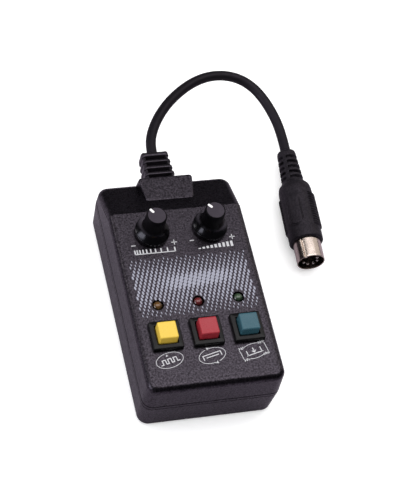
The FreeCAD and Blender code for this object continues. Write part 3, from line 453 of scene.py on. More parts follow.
def lathe(profile, cx, cy, segments):
    """A profile of (radius, z), both ends on the axis, turned about a vertical axis."""
    a = np.linspace(0, 2 * pi, segments, endpoint=False)
    return skin([np.stack([cx + radius * np.cos(a), cy + radius * np.sin(a),
                           np.full(segments, z)], 1) for radius, z in profile])


def smooth_profile(points, step=0.12):
    """Rounds a polyline of (r, z, round): each corner gets an arc-like blend of that size."""
    out = [np.array(points[0][:2], float)]
    for i in range(1, len(points) - 1):
        before, corner, after = (np.array(p[:2], float) for p in points[i - 1:i + 2])
        to_before, to_after = before - corner, after - corner
        len_before, len_after = np.linalg.norm(to_before), np.linalg.norm(to_after)
        reach = min(points[i][2], len_before * 0.49, len_after * 0.49)
        if reach < 1e-3:
            out.append(corner)
            continue
        start = corner + to_before / len_before * reach
        end = corner + to_after / len_after * reach
        for s in np.linspace(0, 1, max(3, int(reach / step) + 3)):
            out.append((1 - s) ** 2 * start + 2 * s * (1 - s) * corner + s * s * end)
    out.append(np.array(points[-1][:2], float))
    return [tuple(p) for p in out]


def densify(profile, step):
    out = [profile[0]]
    for a, b in zip(profile, profile[1:]):
        a, b = np.array(a, float), np.array(b, float)
        pieces = max(1, int(np.linalg.norm(b - a) / step))
        for s in range(1, pieces + 1):
            out.append(tuple(a + (b - a) * s / pieces))
    return out


def rounded_rect(hx, hy, radius, per_corner, per_side):
    """Rounded rectangle of half-widths hx and hy, counter-clockwise."""
    r = max(min(radius, hx - 1e-3, hy - 1e-3), 1e-3)
    corners = [(hx - r, hy - r, 0), (-hx + r, hy - r, 90),
               (-hx + r, -hy + r, 180), (hx - r, -hy + r, 270)]
    points = []
    for q, (cx, cy, start) in enumerate(corners):
        for k in range(per_corner + 1):
            a = math.radians(start + 90.0 * k / per_corner)
            points.append((cx + r * math.cos(a), cy + r * math.sin(a)))
        next_x, next_y, next_start = corners[(q + 1) % 4]
        x0, y0 = points[-1]
        a = math.radians(next_start)
        x1, y1 = next_x + r * math.cos(a), next_y + r * math.sin(a)
        for k in range(1, per_side + 1):
            s = k / (per_side + 1)
            points.append((x0 + (x1 - x0) * s, y0 + (y1 - y0) * s))
    return np.array(points)


def square_rings(stations, cx, cy, per_side):
    """Rounded squares from stations of (half-width, corner radius, z)."""
    return [level(rounded_rect(half, half, radius, per_corner=8, per_side=per_side), z, cx, cy)
            for half, radius, z in stations]


def unit_tangents(curve):
    tangents = np.gradient(curve, axis=0)
    return tangents / np.linalg.norm(tangents, axis=1)[:, None]


def tube_rings(curve, radius, first, second, segments):
    """Circles along a curve, each in the plane of its two given directions."""
    a = np.linspace(0, 2 * pi, segments, endpoint=False)
    cos, sin = np.cos(a)[None, :, None], np.sin(a)[None, :, None]
    return curve[:, None, :] + radius * (cos * first[:, None, :] + sin * second[:, None, :])


def smoothstep(a, b, x):
    t = np.clip((np.asarray(x, float) - a) / (b - a), 0, 1)
    return t * t * (3 - 2 * t)


def turn(points, cx, cy, angle):
    """Points turned about the origin, then moved to (cx, cy)."""
    c, s = math.cos(angle), math.sin(angle)
    return [(cx + x * c - y * s, cy + x * s + y * c) for x, y in points]


# ---------------------------------------------------------------- printed marks on the panel
INK_LOW, INK_HIGH = Z_PANEL - 0.02, Z_PANEL + 0.03


class Print:
    """Collects flat printed shapes into one thin closed mesh."""

    def __init__(self):
        self.verts, self.faces = [], []

    def poly(self, points):
        n, b = len(points), len(self.verts)
        self.verts += [(x, y, z) for z in (INK_LOW, INK_HIGH) for x, y in points]
        self.faces.append(tuple(range(b + n, b + 2 * n)))
        self.faces.append(tuple(range(b + n - 1, b - 1, -1)))
        for i in range(n):
            k = (i + 1) % n
            self.faces.append((b + i, b + k, b + n + k, b + n + i))

    def band(self, outer, inner, closed):
        """Strip between two point lists."""
        n, b = len(outer), len(self.verts)
        for z in (INK_LOW, INK_HIGH):
            self.verts += [(x, y, z) for x, y in outer] + [(x, y, z) for x, y in inner]
        out0, in0, out1, in1 = b, b + n, b + 2 * n, b + 3 * n
        for i in range(n if closed else n - 1):
            k = (i + 1) % n
            self.faces += [(out1 + i, out1 + k, in1 + k, in1 + i),
                           (out0 + k, out0 + i, in0 + i, in0 + k),
                           (out0 + i, out0 + k, out1 + k, out1 + i),
                           (in0 + k, in0 + i, in1 + i, in1 + k)]
        if not closed:
            e = n - 1
            self.faces += [(out0, out1, in1, in0), (out0 + e, in0 + e, in1 + e, out1 + e)]

    def line(self, start, end, width, round_ends=True):
        start, end = np.array(start, float), np.array(end, float)
        heading = math.atan2(end[1] - start[1], end[0] - start[0])
        count = 6 if round_ends else 2
        points = []
        for tip, first in ((end, -pi / 2), (start, pi / 2)):
            for s in np.linspace(first, first + pi, count):
                a = heading + s
                points.append(tuple(tip + width / 2 * np.array([math.cos(a), math.sin(a)])))
        self.poly(points)

    def path(self, points, width, closed=False):
        """Mitred stroke along a polyline."""
        points = [np.array(p, float) for p in points]
        n = len(points)
        outer, inner = [], []
        for i, b in enumerate(points):
            if closed:
                a, c = points[i - 1], points[(i + 1) % n]
            else:
                a, c = points[max(i - 1, 0)], points[min(i + 1, n - 1)]
            into = (b - a) if np.linalg.norm(b - a) > 1e-9 else (c - b)
            away = (c - b) if np.linalg.norm(c - b) > 1e-9 else (b - a)
            into, away = into / np.linalg.norm(into), away / np.linalg.norm(away)
            normal = np.array([-into[1], into[0]])
            mitre = normal + np.array([-away[1], away[0]])
            mitre = mitre / np.linalg.norm(mitre)
            reach = width / 2 / max(0.35, float(mitre @ normal))
            outer.append(tuple(b + mitre * reach))
            inner.append(tuple(b - mitre * reach))
        self.band(outer, inner, closed)

    def build(self, name, material):
        piece = build(name, (self.verts, self.faces), material)
        fix(piece, "case", "pointer_white")


marks = Print()
DIAL_X = {name: middle(KNOBS[name])[0] for name in DIALS}

# minus and plus signs beside each dial
for cx in DIAL_X.values():
    minus_x, plus_x = cx - 9.75, cx + 9.3
    marks.line((minus_x - 0.85, 18.1), (minus_x + 0.85, 18.1), width=0.42)
    marks.line((plus_x - 1.15, 18.15), (plus_x + 1.15, 18.15), width=0.42)
    marks.line((plus_x, 17.0), (plus_x, 19.3), width=0.42)

SCALE_Y0, SCALE_Y1 = 13.25, 15.95          # the scales below the dials


def interval_scale():
    """Upright strokes that grow further apart, on a base line."""
    gaps = [1.05, 1.2, 1.38, 1.6, 1.85, 2.15, 2.5, 2.9, 3.3]     # in proportion
    length = 18.6
    offsets = np.r_[0, np.cumsum(gaps)]
    xs = DIAL_X["interval"] - 9.7 + offsets * (length / offsets[-1])
    for x in xs:
        marks.line((x, SCALE_Y0 + 0.3), (x, SCALE_Y1 - 0.3), width=0.62, round_ends=False)
    base_y = SCALE_Y0 + 0.2
    marks.line((xs[0], base_y), (xs[-1], base_y), width=0.40, round_ends=False)


def output_scale():
    """A rising staircase of bars."""
    count, pitch, width = 9, 1.92, 1.15
    low, high = 0.55, 2.75
    for i in range(count):
        x = DIAL_X["output"] - 7.6 + i * pitch
        top = SCALE_Y0 + (low + (high - low) * (i / (count - 1)) ** 0.9)
        marks.poly([(x, SCALE_Y0), (x + width, SCALE_Y0), (x + width, top), (x, top)])


interval_scale()
output_scale()

# tilted oval badges on the -Y side of the buttons
BADGE_TILT = math.radians(13.5)
BADGE_Y = -41.0
BADGE_X = {name: middle(CAPS[name])[0] + shift
           for name, shift in (("timer", -0.6), ("continuous", 0.1), ("manual", 0.6))}
OVAL_LINE, SYMBOL_LINE = 0.24, 0.42


def on_badge(name, *points, dx=0.0, dy=0.0):
    """Panel places of points given in a badge's own tilted frame."""
    return turn(points, BADGE_X[name] + dx, BADGE_Y + dy, BADGE_TILT)


def oval(name, long_radius, short_radius, start=0.0, end=360.0):
    closed = end - start == 360.0
    angles = np.radians(np.linspace(start, end, 96, endpoint=not closed))
    points = [(long_radius * math.cos(a), short_radius * math.sin(a)) for a in angles]
    marks.path(on_badge(name, *points), OVAL_LINE, closed)


def timer_badge():
    """Closed oval with a pulse train and one wedge mark."""
    name = "timer"
    oval(name, 6.4, 3.62)
    marks.poly(on_badge(name, (-0.55, 2.0), (0.55, 2.0), (0.0, 3.0), dx=-0.35))
    low, high = -1.15, 0.95
    pulse = [(-4.6, low), (-3.4, low), (-3.4, high), (-1.9, high), (-1.9, low), (-0.75, low),
             (-0.75, high), (0.75, high), (0.75, low), (1.9, low), (1.9, high), (3.4, high),
             (3.4, low), (4.6, low)]
    marks.path(on_badge(name, *pulse, dy=-0.2), SYMBOL_LINE)


def continuous_badge():
    """Oval of two arcs with arrow heads, and a level bar between end stops."""
    name = "continuous"
    oval(name, 6.35, 3.62, -72, 96)
    oval(name, 6.35, 3.62, 108, 276)
    marks.poly(on_badge(name, (-1.15, 3.1), (-1.15, 4.5), (0.35, 3.85)))
    marks.poly(on_badge(name, (1.15, -3.1), (1.15, -4.5), (-0.35, -3.85)))
    stops = [(-4.3, -1.15), (-4.3, 0.95), (4.3, 0.95), (4.3, -1.15)]
    marks.path(on_badge(name, *stops), SYMBOL_LINE)
    marks.line(*on_badge(name, (-2.9, -0.35), (2.9, -0.35)), SYMBOL_LINE)


def manual_badge():
    """Arrow over a bar, in a frame with chevrons at its corners."""
    name = "manual"
    oval(name, 6.3, 3.6, 40, 140)
    oval(name, 6.3, 3.6, 220, 320)
    for sx, sy in ((-1, 1), (1, 1), (-1, -1), (1, -1)):
        for i in range(3):
            x, y = sx * (5.9 - i * 1.0), sy * 3.0
            chevron = [(x - 0.35, y - 0.45), (x + 0.35, y), (x - 0.35, y + 0.45)]
            marks.path(on_badge(name, *chevron), 0.3)
    for sx in (-1, 1):
        marks.line(*on_badge(name, (sx * 6.15, -2.2), (sx * 6.15, 2.2)), width=0.26)
    marks.poly(on_badge(name, (-1.2, 0.3), (1.2, 0.3), (0.0, -0.95)))
    marks.line(*on_badge(name, (0, 1.5), (0, 0.2)), width=0.5)
    marks.line(*on_badge(name, (-3.9, -1.35), (3.9, -1.35)), width=0.4)
    for x in (-3.4, 3.4):
        marks.line(*on_badge(name, (x, -1.3), (x, 0.9)), SYMBOL_LINE)


timer_badge()
continuous_badge()
manual_badge()
marks.build("panel_legends", "ink")


def near_lamp(x, y, clearance=3.05):
    return any((x - cx) ** 2 + (y - cy) ** 2 < clearance ** 2
               for cx, cy, _ in map(middle, LAMPS.values()))


def dash_band():
    """Slanting dashes, small at the upper and lower edges and crowding in the middle."""
    x0, x1, y0, y1 = -27.6, 27.5, -18.9, 10.3
    row_step, column_step = np.array([1.85, -0.62]), np.array([0.62, 1.55])
    lean = math.radians(90 + 10)
    dashes = Print()
    for i in range(-40, 41):
        for j in range(-40, 41):
            x, y = row_step * i + column_step * j + np.array([0.0, -4.0])
            if not (x0 + 0.35 < x < x1 - 0.35 and y0 < y < y1) or near_lamp(x, y):
                continue
            fade = smoothstep(y1, 1.5, y) if y > -4 else smoothstep(y0 - 0.5, -9.0, y)
            size = 0.46 + 0.54 * float(fade)
            crowd = math.exp(-(((x - 2.5) / 15.0) ** 4) - (((y + 2.2 - 0.05 * x) / 3.3) ** 4))
            width = 0.86 * size * (1 + 1.00 * crowd)
            length = 1.92 * size ** 0.6 * (1 + 0.12 * crowd)
            outline = [(length / 2 * math.cos(t), width / 2 * math.sin(t))
                       for t in np.linspace(0, 2 * pi, 10, endpoint=False)]
            dashes.poly(turn(outline, x, y, lean))
    dashes.build("panel_dash_band", "dots")


dash_band()


# ---------------------------------------------------------------- knobs
def knob_body(name, cx, cy, top):
    """Slim barrel that flares to a skirt, hollow below."""
    foot = Z_PANEL + 0.6
    profile = smooth_profile([      # radius, z, rounding
        (0.0, top - 0.9, 0), (0.4, top - 0.9, 0), (4.14, top - 0.9, 0),
        (4.14, top - 0.22, 0.05), (4.38, top - 0.2, 0.12), (4.62, top - 0.62, 0.2),
        (4.74, top - 2.0, 0.4), (4.84, foot + 6.6, 0.3), (4.98, foot + 5.5, 0.3),
        (5.25, foot + 4.7, 0.3), (5.68, foot + 3.95, 0.3), (6.25, foot + 3.22, 0.3),
        (6.9, foot + 2.52, 0.3), (7.55, foot + 1.92, 0.25), (8.0, foot + 1.6, 0.2),
        (8.0, foot + 0.05, 0.12), (7.8, foot, 0.05), (6.75, foot, 0.05),
        (6.7, foot + 2.4, 0.1), (3.8, foot + 2.4, 0.1), (3.75, foot + 4.3, 0.0),
        (0.0, foot + 4.3, 0),
    ])
    surface = lathe(densify(profile, step=0.6), cx, cy, segments=128)
    piece = build(name + "_knob_body", surface, "knob", sharp=50)
    fix(piece, name + "_control", "knob_plastic", name + "_knob")


def knob_disc(name, cx, cy, top):
    """Matt disc let into the top, with turned rings."""
    profile = [(0.0, top - 0.86), (4.08, top - 0.86), (4.1, top - 0.36), (4.04, top - 0.27)]
    radius = 3.9
    while radius > 0.3:
        profile += [(radius, top - 0.25), (radius - 0.12, top - 0.268)]
        radius -= 0.24
    profile += [(0.1, top - 0.26), (0.0, top - 0.26)]
    surface = lathe(profile, cx, cy, segments=96)
    piece = build(name + "_knob_disc", surface, "knob_top", sharp=40)
    fix(piece, name + "_control", "knob_plastic")


def knob_pointer(name, cx, cy, top):
    """Raised white bar, rounded at both ends and along its top."""
    mark = middle(span(name + "_knob_pointer"))
    angle = math.atan2(mark[1] - cy, mark[0] - cx)
    rings = []
    for inset, drop in ((0.0, 0.85), (0.0, 0.22), (0.03, 0.12), (0.1, 0.06), (0.2, 0.035),
                        (0.42, 0.03)):
        outline = rounded_rect(1.26 - inset, 0.56 - inset, 0.44 - inset * 0.6,
                               per_corner=6, per_side=4)
        outline = turn([(x + 3.08, y) for x, y in outline], cx, cy, angle)
        rings.append(level(np.array(outline), top - drop))
    piece = build(name + "_knob_pointer_bar", skin(rings), "pointer", sharp=60)
    fix(piece, name + "_control", "pointer_white", name + "_knob_pointer")


for name, box in KNOBS.items():
    cx, cy, _ = middle(box)
    for make_part in (knob_body, knob_disc, knob_pointer):
        make_part(name, cx, cy, top=box[1][2] + 0.2)


# ---------------------------------------------------------------- push buttons
def button_cap(name, colour):
    """Square cap with slightly drawn-in sides and a rounded top edge."""
    low, high = CAPS[name]
    cx, cy, _ = middle(CAPS[name])
    z0, z1 = low[2], high[2]
    half = (high[0] - low[0]) / 2
    half_top = half - 0.12
    edge, foot = 0.62, 0.12                 # rounding of the top edge and of the foot
    stations = [(3.0, 0.3, z0 + 0.02), (half - 0.15, 0.5, z0), (half, 0.55, z0 + foot)]
    for s in np.linspace(0.08, 1, 6):
        stations.append((half + (half_top - half) * s, 0.58,
                         z0 + foot + (z1 - edge - z0 - foot) * s))
    for a in np.linspace(0, pi / 2, 9)[1:]:
        stations.append((half_top - edge * (1 - math.cos(a)),
                         0.58 * math.cos(a) * 0.75 + 0.15, z1 - edge + edge * math.sin(a)))
    for s in (0.85, 0.6, 0.35, 0.12):       # the top, dished by 0.05
        stations.append(((half_top - edge) * s, 0.15 * s + 0.02, z1 - 0.05 * (1 - s * s)))
    surface = skin(square_rings(stations, cx, cy, per_side=6))
    piece = build(name + "_cap", surface, colour, sharp=60)
    fix(piece, name + "_button", "cap_" + colour, name + "_button_cap")


BEZEL_TOP = span("button_bezels")[1][2]


def button_bezel(name):
    """Square collar round a button, standing on the panel."""
    cx, cy, _ = middle(CAPS[name])
    z, top = Z_PANEL, BEZEL_TOP
    stations = [        # half-width, corner radius, z
        (5.65, 0.4, z - 2.9), (5.65, 0.4, z + 0.05), (6.9, 0.7, z + 0.03),
        (7.0, 0.75, z + 0.12), (6.97, 0.75, z + 0.8), (6.94, 0.75, top - 0.75),
        (6.88, 0.72, top - 0.52), (6.72, 0.65, top - 0.36), (6.5, 0.55, top - 0.28),
        (5.9, 0.5, top - 0.16), (5.3, 0.5, top - 0.04), (5.0, 0.5, top),
        (4.82, 0.48, top - 0.06), (4.68, 0.46, top - 0.25), (4.6, 0.45, top - 0.6),
        (4.6, 0.45, z - 2.9),
    ]
    surface = skin(square_rings(stations, cx, cy, per_side=5), loop=True)
    piece = build(name + "_bezel", surface, "bezel", sharp=45)
    fix(piece, "case", "bezel_plastic", "button_bezels")


def return_spring(name):
    """Coil under a button; the real one shortens as the button goes down, this one keeps its rest
    length.
    """
    low, high = span(name + "_return_spring")
    cx, cy = (low[0] + high[0]) / 2, (low[1] + high[1]) / 2
    wire, turns, count = 0.22, 5.0, 320
    radius = (high[0] - low[0]) / 2 - wire
    s = np.linspace(0, 1, count)
    a = 2 * pi * turns * s
    curve = np.stack([cx + radius * np.cos(a), cy + radius * np.sin(a),
                      low[2] + wire + (high[2] - low[2] - 2 * wire) * s], 1)
    outward = np.stack([np.cos(a), np.sin(a), np.zeros(count)], 1)
    upward = np.cross(outward, unit_tangents(curve))
    surface = skin(tube_rings(curve, wire, outward, upward, segments=10))
    piece = build(name + "_spring_coil", surface, "spring", sharp=60)
    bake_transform(piece)
    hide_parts(name + "_return_spring")


for name, colour in BUTTONS.items():
    button_cap(name, colour)
for name in BUTTONS:
    button_bezel(name)
for name in BUTTONS:
    return_spring(name)

# ---------------------------------------------------------------- cable boot
BOOT_RIBS = [(56.15, 58.9), (60.8, 62.5), (64.3, 66.05), (67.9, 69.5), (71.4, 74.0)]   # in y
BOOT_Y0, BOOT_Y1 = BOOT_RIBS[0][0], BOOT_RIBS[-1][1]
BOOT_X0, BOOT_X1 = 7.55, 6.5            # half-width at the case and at the free end
BOOT_H0, BOOT_H1 = 5.55, 4.6            # half-height, likewise
BOOT_CORNER = 1.7


def boot_stations():
    """Places along y, close together at the rounded shoulders of the ribs."""
    ys = [BOOT_Y0]
    for a, b in BOOT_RIBS:
        for d in (0.0, 0.06, 0.14, 0.25, 0.4):
            ys += [a + d, b - d]
        ys.append((a + b) / 2)
    for (_, a), (b, _) in zip(BOOT_RIBS, BOOT_RIBS[1:]):
        ys += [a + (b - a) * t for t in (0.12, 0.3, 0.5, 0.7, 0.88)]
    return sorted(set(round(y, 4) for y in ys))


def rib_height(y):
    """1 on a rib, 0 in a gap, with rounded shoulders."""
    for a, b in BOOT_RIBS:
        inside = min(y - a, b - y)
        if inside >= 0:
            return 0.55 + 0.45 * math.sin(min(inside / 0.4, 1.0) * pi / 2)
    return 0.0


def upright(points, y):
    """Section points (x, z about the boot's axis) stood up at y."""
    return np.c_[points[:, 0], np.full(len(points), y), points[:, 1] + BOOT_Z]


def boot_section(y):
    """Tapering section; the gaps are deep above and below and shallow on the flanks."""
    t = (y - BOOT_Y0) / (BOOT_Y1 - BOOT_Y0)
    hx = BOOT_X0 + (BOOT_X1 - BOOT_X0) * t
    hz = BOOT_H0 + (BOOT_H1 - BOOT_H0) * t
    gap = 1 - rib_height(y)
    flank = gap * 0.42
    points = []
    for x, z in rounded_rect(hx, hz, BOOT_CORNER, per_corner=10, per_side=20):
        deep = gap * (2.1 * float(smoothstep(hx - 1.25, hx - 1.75, abs(x))))
        shallow = flank if abs(z) > hz - BOOT_CORNER else 0.0
        new_z = np.sign(z) * max(abs(z) - deep - shallow, 0.2)
        new_x = np.sign(x) * max(abs(x) - flank, 0.0) if abs(x) > hx - 1.75 else x
        points.append((new_x, new_z))
    return upright(np.array(points), y)


def cable_boot():
    rings = [upright(rounded_rect(6.45, 4.75, 0.9, per_corner=10, per_side=20), y)
             for y in (53.2, 56.1)]         # neck inside the case
    # the first and last section are laid twice and merge in the mesh
    rings += [boot_section(y) for y in [BOOT_Y0] + boot_stations() + [BOOT_Y1]]
    last = rings[-1]
    # rounded lip at the free end, running in to the cable
    for inset, dy in ((0.12, 0.0), (0.3, 0.04)):
        lip = last.copy()
        lip[:, 0] = lip[:, 0] * (1 - inset / BOOT_X1)
        lip[:, 2] = BOOT_Z + (lip[:, 2] - BOOT_Z) * (1 - inset / BOOT_H1)
        lip[:, 1] = BOOT_Y1 + dy
        rings.append(lip)
    angles = np.array([math.atan2((z - BOOT_Z) / BOOT_H1, x / BOOT_X1) for x, _, z in last])
    for radius, dy in ((3.2, 0.02), (2.8, -0.02), (2.6, -0.12), (2.5, -0.6)):
        circle = np.stack([radius * np.cos(angles), radius * np.sin(angles)], 1)
        rings.append(upright(circle, BOOT_Y1 + dy))
    piece = build("cable_boot_moulding", skin(rings), "boot", sharp=55)
    fix(piece, "case", "boot_rubber", "cable_boot")


cable_boot()

# ---------------------------------------------------------------- lead
LEAD_RADIUS = 2.45
LEAD_POINTS = [(0.0, y, 18.5) for y in (60.0, 64.0, 68.0, 72.0, 76.5)]      # x, y, z
LEAD_POINTS += [
    (0.99, 83.57, 18.47), (4.45, 91.48, 18.2), (9.35, 98.91, 17.72), (15.29, 105.69, 17.05),
    (22.21, 111.79, 16.23), (29.92, 116.94, 15.31), (38.41, 120.44, 14.32),
    (46.94, 121.3, 13.29), (54.74, 119.28, 12.28), (60.78, 114.46, 11.32),
    (64.82, 107.86, 10.4), (67.4, 100.79, 9.6), (69.02, 93.6, 8.95), (69.6, 86.06, 8.45),
]
LEAD_POINTS += [tuple(PLUG_BEND + PLUG_DIR * along) for along in (0.0, 4.0, 8.0, 12.0, 16.0)]


def hermite(points, step):
    """Dense smooth curve through points."""
    P = np.array(points, float)
    d = np.r_[0, np.cumsum(np.linalg.norm(np.diff(P, axis=0), axis=1))]
    slope = np.zeros_like(P)
    slope[1:-1] = (P[2:] - P[:-2]) / (d[2:] - d[:-2])[:, None]
    slope[0] = (P[1] - P[0]) / (d[1] - d[0])
    slope[-1] = (P[-1] - P[-2]) / (d[-1] - d[-2])
    out = []
    for v in np.r_[np.arange(0, d[-1], step), d[-1]]:
        i = min(max(np.searchsorted(d, v) - 1, 0), len(P) - 2)
        h = d[i + 1] - d[i]
        u = (v - d[i]) / h
        out.append((2 * u ** 3 - 3 * u ** 2 + 1) * P[i]
                   + (u ** 3 - 2 * u ** 2 + u) * h * slope[i]
                   + (-2 * u ** 3 + 3 * u ** 2) * P[i + 1]
                   + (u ** 3 - u ** 2) * h * slope[i + 1])
    return np.array(out)


def lead():
    """The cable in two halves, from the case and to the plug, split halfway along."""
    curve = hermite(LEAD_POINTS, step=0.8)
    for _ in range(14):                 # ease out the small kinks between the given points
        eased = curve.copy()
        eased[1:-1] = 0.25 * curve[:-2] + 0.5 * curve[1:-1] + 0.25 * curve[2:]
        curve = eased
    tangents = unit_tangents(curve)
    normals = np.zeros_like(curve)      # carried along the curve without twist
    normals[0] = (0, 0, 1)
    for i in range(1, len(curve)):
        carried = normals[i - 1] - tangents[i] * (normals[i - 1] @ tangents[i])
        normals[i] = carried / np.linalg.norm(carried)
    rings = tube_rings(curve, LEAD_RADIUS, normals, np.cross(tangents, normals), segments=40)
    half = len(curve) // 2
    case_half = build("lead_from_case", skin(rings[:half + 1]), "jacket", sharp=60)
    plug_half = build("lead_to_plug", skin(rings[half:]), "jacket", sharp=60)
    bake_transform(case_half)
    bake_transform(plug_half)
    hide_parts("cable_case_end", "cable_loop")
    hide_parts("cable_plug_end")


lead()


# ---------------------------------------------------------------- plug
def plug_frame(points):
    """From the plug's own axes (+Z towards the tip, +Y the key side) to its place."""
    points = np.asarray(points, float)
    c, s = math.cos(PLUG_ROLL), math.sin(PLUG_ROLL)
    x = points[..., 0] * c - points[..., 1] * s
    y = points[..., 0] * s + points[..., 1] * c
    z = points[..., 2]
    c, s = math.cos(PLUG_SWING), math.sin(PLUG_SWING)
    return np.stack([PLUG_X + x * c - z * s, PLUG_Y - x * s - z * c, y + PLUG_Z], -1)


def polar_ring(radii, angles, z):
    return np.stack([radii * np.cos(angles), radii * np.sin(angles), np.full(len(angles), z)], 1)


NECK_END = 19.0                         # the slotted neck ends here and the wide grip begins
PAD_Z0, PAD_Z1 = NECK_END + 7.3, NECK_END + 25.7
GRIP_PROFILE = [                        # radius, z along the plug, rounding
    (2.48, 1.2, 0.0), (2.5, 0.25, 0.2), (3.1, 0.0, 0.3), (4.35, 0.0, 0.5), (4.6, 1.4, 0.5),
    (5.5, NECK_END - 1.2, 1.2), (5.8, NECK_END + 0.1, 0.8), (7.35, NECK_END + 0.8, 1.3),
    (7.92, NECK_END + 3.2, 1.6), (8.02, NECK_END + 6.0, 1.0), (8.15, GRIP_END - 3.0, 1.5),
    (8.16, GRIP_END - 0.6, 0.5), (7.5, GRIP_END, 0.35), (6.75, GRIP_END - 0.02, 0.1),
    (6.2, GRIP_END - 0.3, 0.1), (6.16, GRIP_END - 1.6, 0.0),
]


def slot_depth(z, angles, k):
    """Depth of slot k of the strain relief, stopped at two spines in line with the key."""
    across = 1.0 - smoothstep(0.58, 0.84, abs(z - (4.4 + k * 3.0)))
    from_spine = np.abs(angles % pi - pi / 2)
    return 1.55 * across * smoothstep(0.14, 0.30, from_spine)


def plain_pad(z, arc):
    """U-shaped pad with a groove inside its edge: square to the cable, round to the tip."""
    half = 3.6
    outside = np.hypot(arc, max(z - (PAD_Z1 - half), 0.0)) - half
    body = (1 - smoothstep(-0.25, 0.15, outside)) * smoothstep(PAD_Z0 - 0.2, PAD_Z0 + 3.5, z)
    groove = np.exp(-((outside + 0.55) / 0.26) ** 2) * smoothstep(PAD_Z0 + 2, PAD_Z0 + 5, z)
    return 0.34 * body - 0.36 * groove


def ribbed_pad(z, arc):
    """Pad with cross ribs inside a plain border."""
    half, pitch = 4.3, 1.38
    edge = 1 - smoothstep(half - 0.5, half + 0.1, arc)
    ends = smoothstep(PAD_Z0 - 0.3, PAD_Z0 + 0.6, z) * (
        1 - smoothstep(PAD_Z1 - 0.5, PAD_Z1 + 0.3, z))
    inside = smoothstep(PAD_Z0 + 0.6, PAD_Z0 + 1.0, z) * (
        1 - smoothstep(PAD_Z1 - 1.1, PAD_Z1 - 0.7, z))
    phase = ((z - PAD_Z0 - 0.9) % pitch) / pitch
    tooth = float(smoothstep(0.15, 0.75, 0.5 - 0.5 * math.cos(2 * pi * phase)))
    return edge * float(ends) * (0.10 + 0.62 * (tooth if inside > 0.5 else 1.0))


def plug_grip():
    profile = densify(smooth_profile(GRIP_PROFILE, step=0.1), step=0.17)
    # 0 is +X of the plug, 90 degrees the key
    angles = np.linspace(0, 2 * pi, 224, endpoint=False)
    outer_from = next(i for i, (r, z) in enumerate(profile) if r > 4.0)
    outer_to = max(i for i, (r, z) in enumerate(profile) if r > 7.45)
    rings = []
    for i, (r, z) in enumerate(profile):
        radii = np.full(len(angles), r, float)
        if outer_from < i < outer_to:
            if z < NECK_END - 0.6:
                for k in range(5):
                    radii -= slot_depth(z, angles, k)
            for side, pad in ((90, plain_pad), (180, ribbed_pad), (270, plain_pad),
                              (0, ribbed_pad)):
                away = ((angles - math.radians(side) + pi) % (2 * pi)) - pi
                radii += pad(z, np.abs(away) * 7.6)
        rings.append(polar_ring(radii, angles, z))
    rings = plug_frame(rings)
    rings[..., 2] = np.maximum(rings[..., 2], 0.05)     # it rests on a narrow flat
    piece = build("plug_grip_moulding", skin(rings), "grip", sharp=60)
    fix(piece, "plug", "boot_rubber", "plug_grip")


def plug_shell():
    """Metal shell with its pressed key and rounded rim."""
    outer, inner = 6.6, 6.2
    from_key = np.concatenate([np.linspace(-pi, -0.24, 60), np.linspace(-0.23, 0.23, 61),
                               np.linspace(0.24, pi, 60)[:-1]])
    arc = np.abs(from_key) * outer
    outside = outer - 0.72 * (1 - smoothstep(0.24, 0.46, arc))
    inside = inner - 0.75 * (1 - smoothstep(0.62, 0.86, arc))
    root, key_start, rim = GRIP_END - 4.9, GRIP_END + 0.4, 0.2
    stations = [(6.1, root), (6.1, key_start)]          # radius or radii, z
    stations += [(outside, z) for z in np.linspace(key_start, SHELL_END - rim, 14)]
    for a in np.linspace(0, pi, 9):
        radii = (outside + inside) / 2 + (outside - inside) / 2 * math.cos(a)
        stations.append((radii, SHELL_END - rim + rim * math.sin(a)))
    stations += [(inside, z) for z in np.linspace(SHELL_END - rim, key_start + 0.4, 14)]
    stations += [(5.7, key_start + 0.8), (5.7, root)]
    rings = [polar_ring(radii, from_key + pi / 2, z) for radii, z in stations]
    piece = build("plug_shell_metal", skin(plug_frame(rings), loop=True), "nickel", sharp=50)
    fix(piece, "plug", "nickel", "plug_shell")


plug_grip()
plug_shell()


# ---------------------------------------------------------------- floor (metres from here on)
def floor_paper():
    """White paper, brighter to the camera than in the light it throws back at the object."""
    thrown, lift = 0.36, 0.28           # brightness off camera; glow added on camera
    cast = (1.0, 0.88, 1.06)            # faint violet in all but the direct view
    shader = Shader("floor_paper")
    camera_ray = shader.add("ShaderNodeLightPath").outputs["Is Camera Ray"]

    def off_camera(value):
        """1 to the camera, the given value otherwise."""
        return shader.math("ADD", shader.math("MULTIPLY", camera_ray, 1.0 - value), value)

    mottle = shader.noise(shader.coords(), scale=6.0)
    paper = shader.remap(mottle, between=(0.3, 0.7), to=(0.90, 0.93))
    white = shader.math("MULTIPLY", paper, off_camera(thrown))
    combine = shader.add("ShaderNodeCombineColor")
    for channel, value in enumerate(cast):
        tinted = shader.math("MULTIPLY", white, off_camera(value))
        shader.put(combine.inputs[channel], tinted)
    shader.surface(base_color=combine.outputs[0], emission_color=(1, 1, 1, 1),
                   emission_strength=shader.math("MULTIPLY", camera_ray, lift), roughness=0.9)
    return shader.material


FLOOR_HALF, FLOOR_Z = 6.0, -0.0001
floor_mesh = bpy.data.meshes.new("studio_floor")
floor_mesh.from_pydata([(x * FLOOR_HALF, y * FLOOR_HALF, FLOOR_Z)
                        for x, y in ((-1, -1), (1, -1), (1, 1), (-1, 1))], [], [(0, 1, 2, 3)])
floor = bpy.data.objects.new("studio_floor", floor_mesh)
bpy.context.scene.collection.objects.link(floor)
floor_mesh.materials.append(floor_paper())


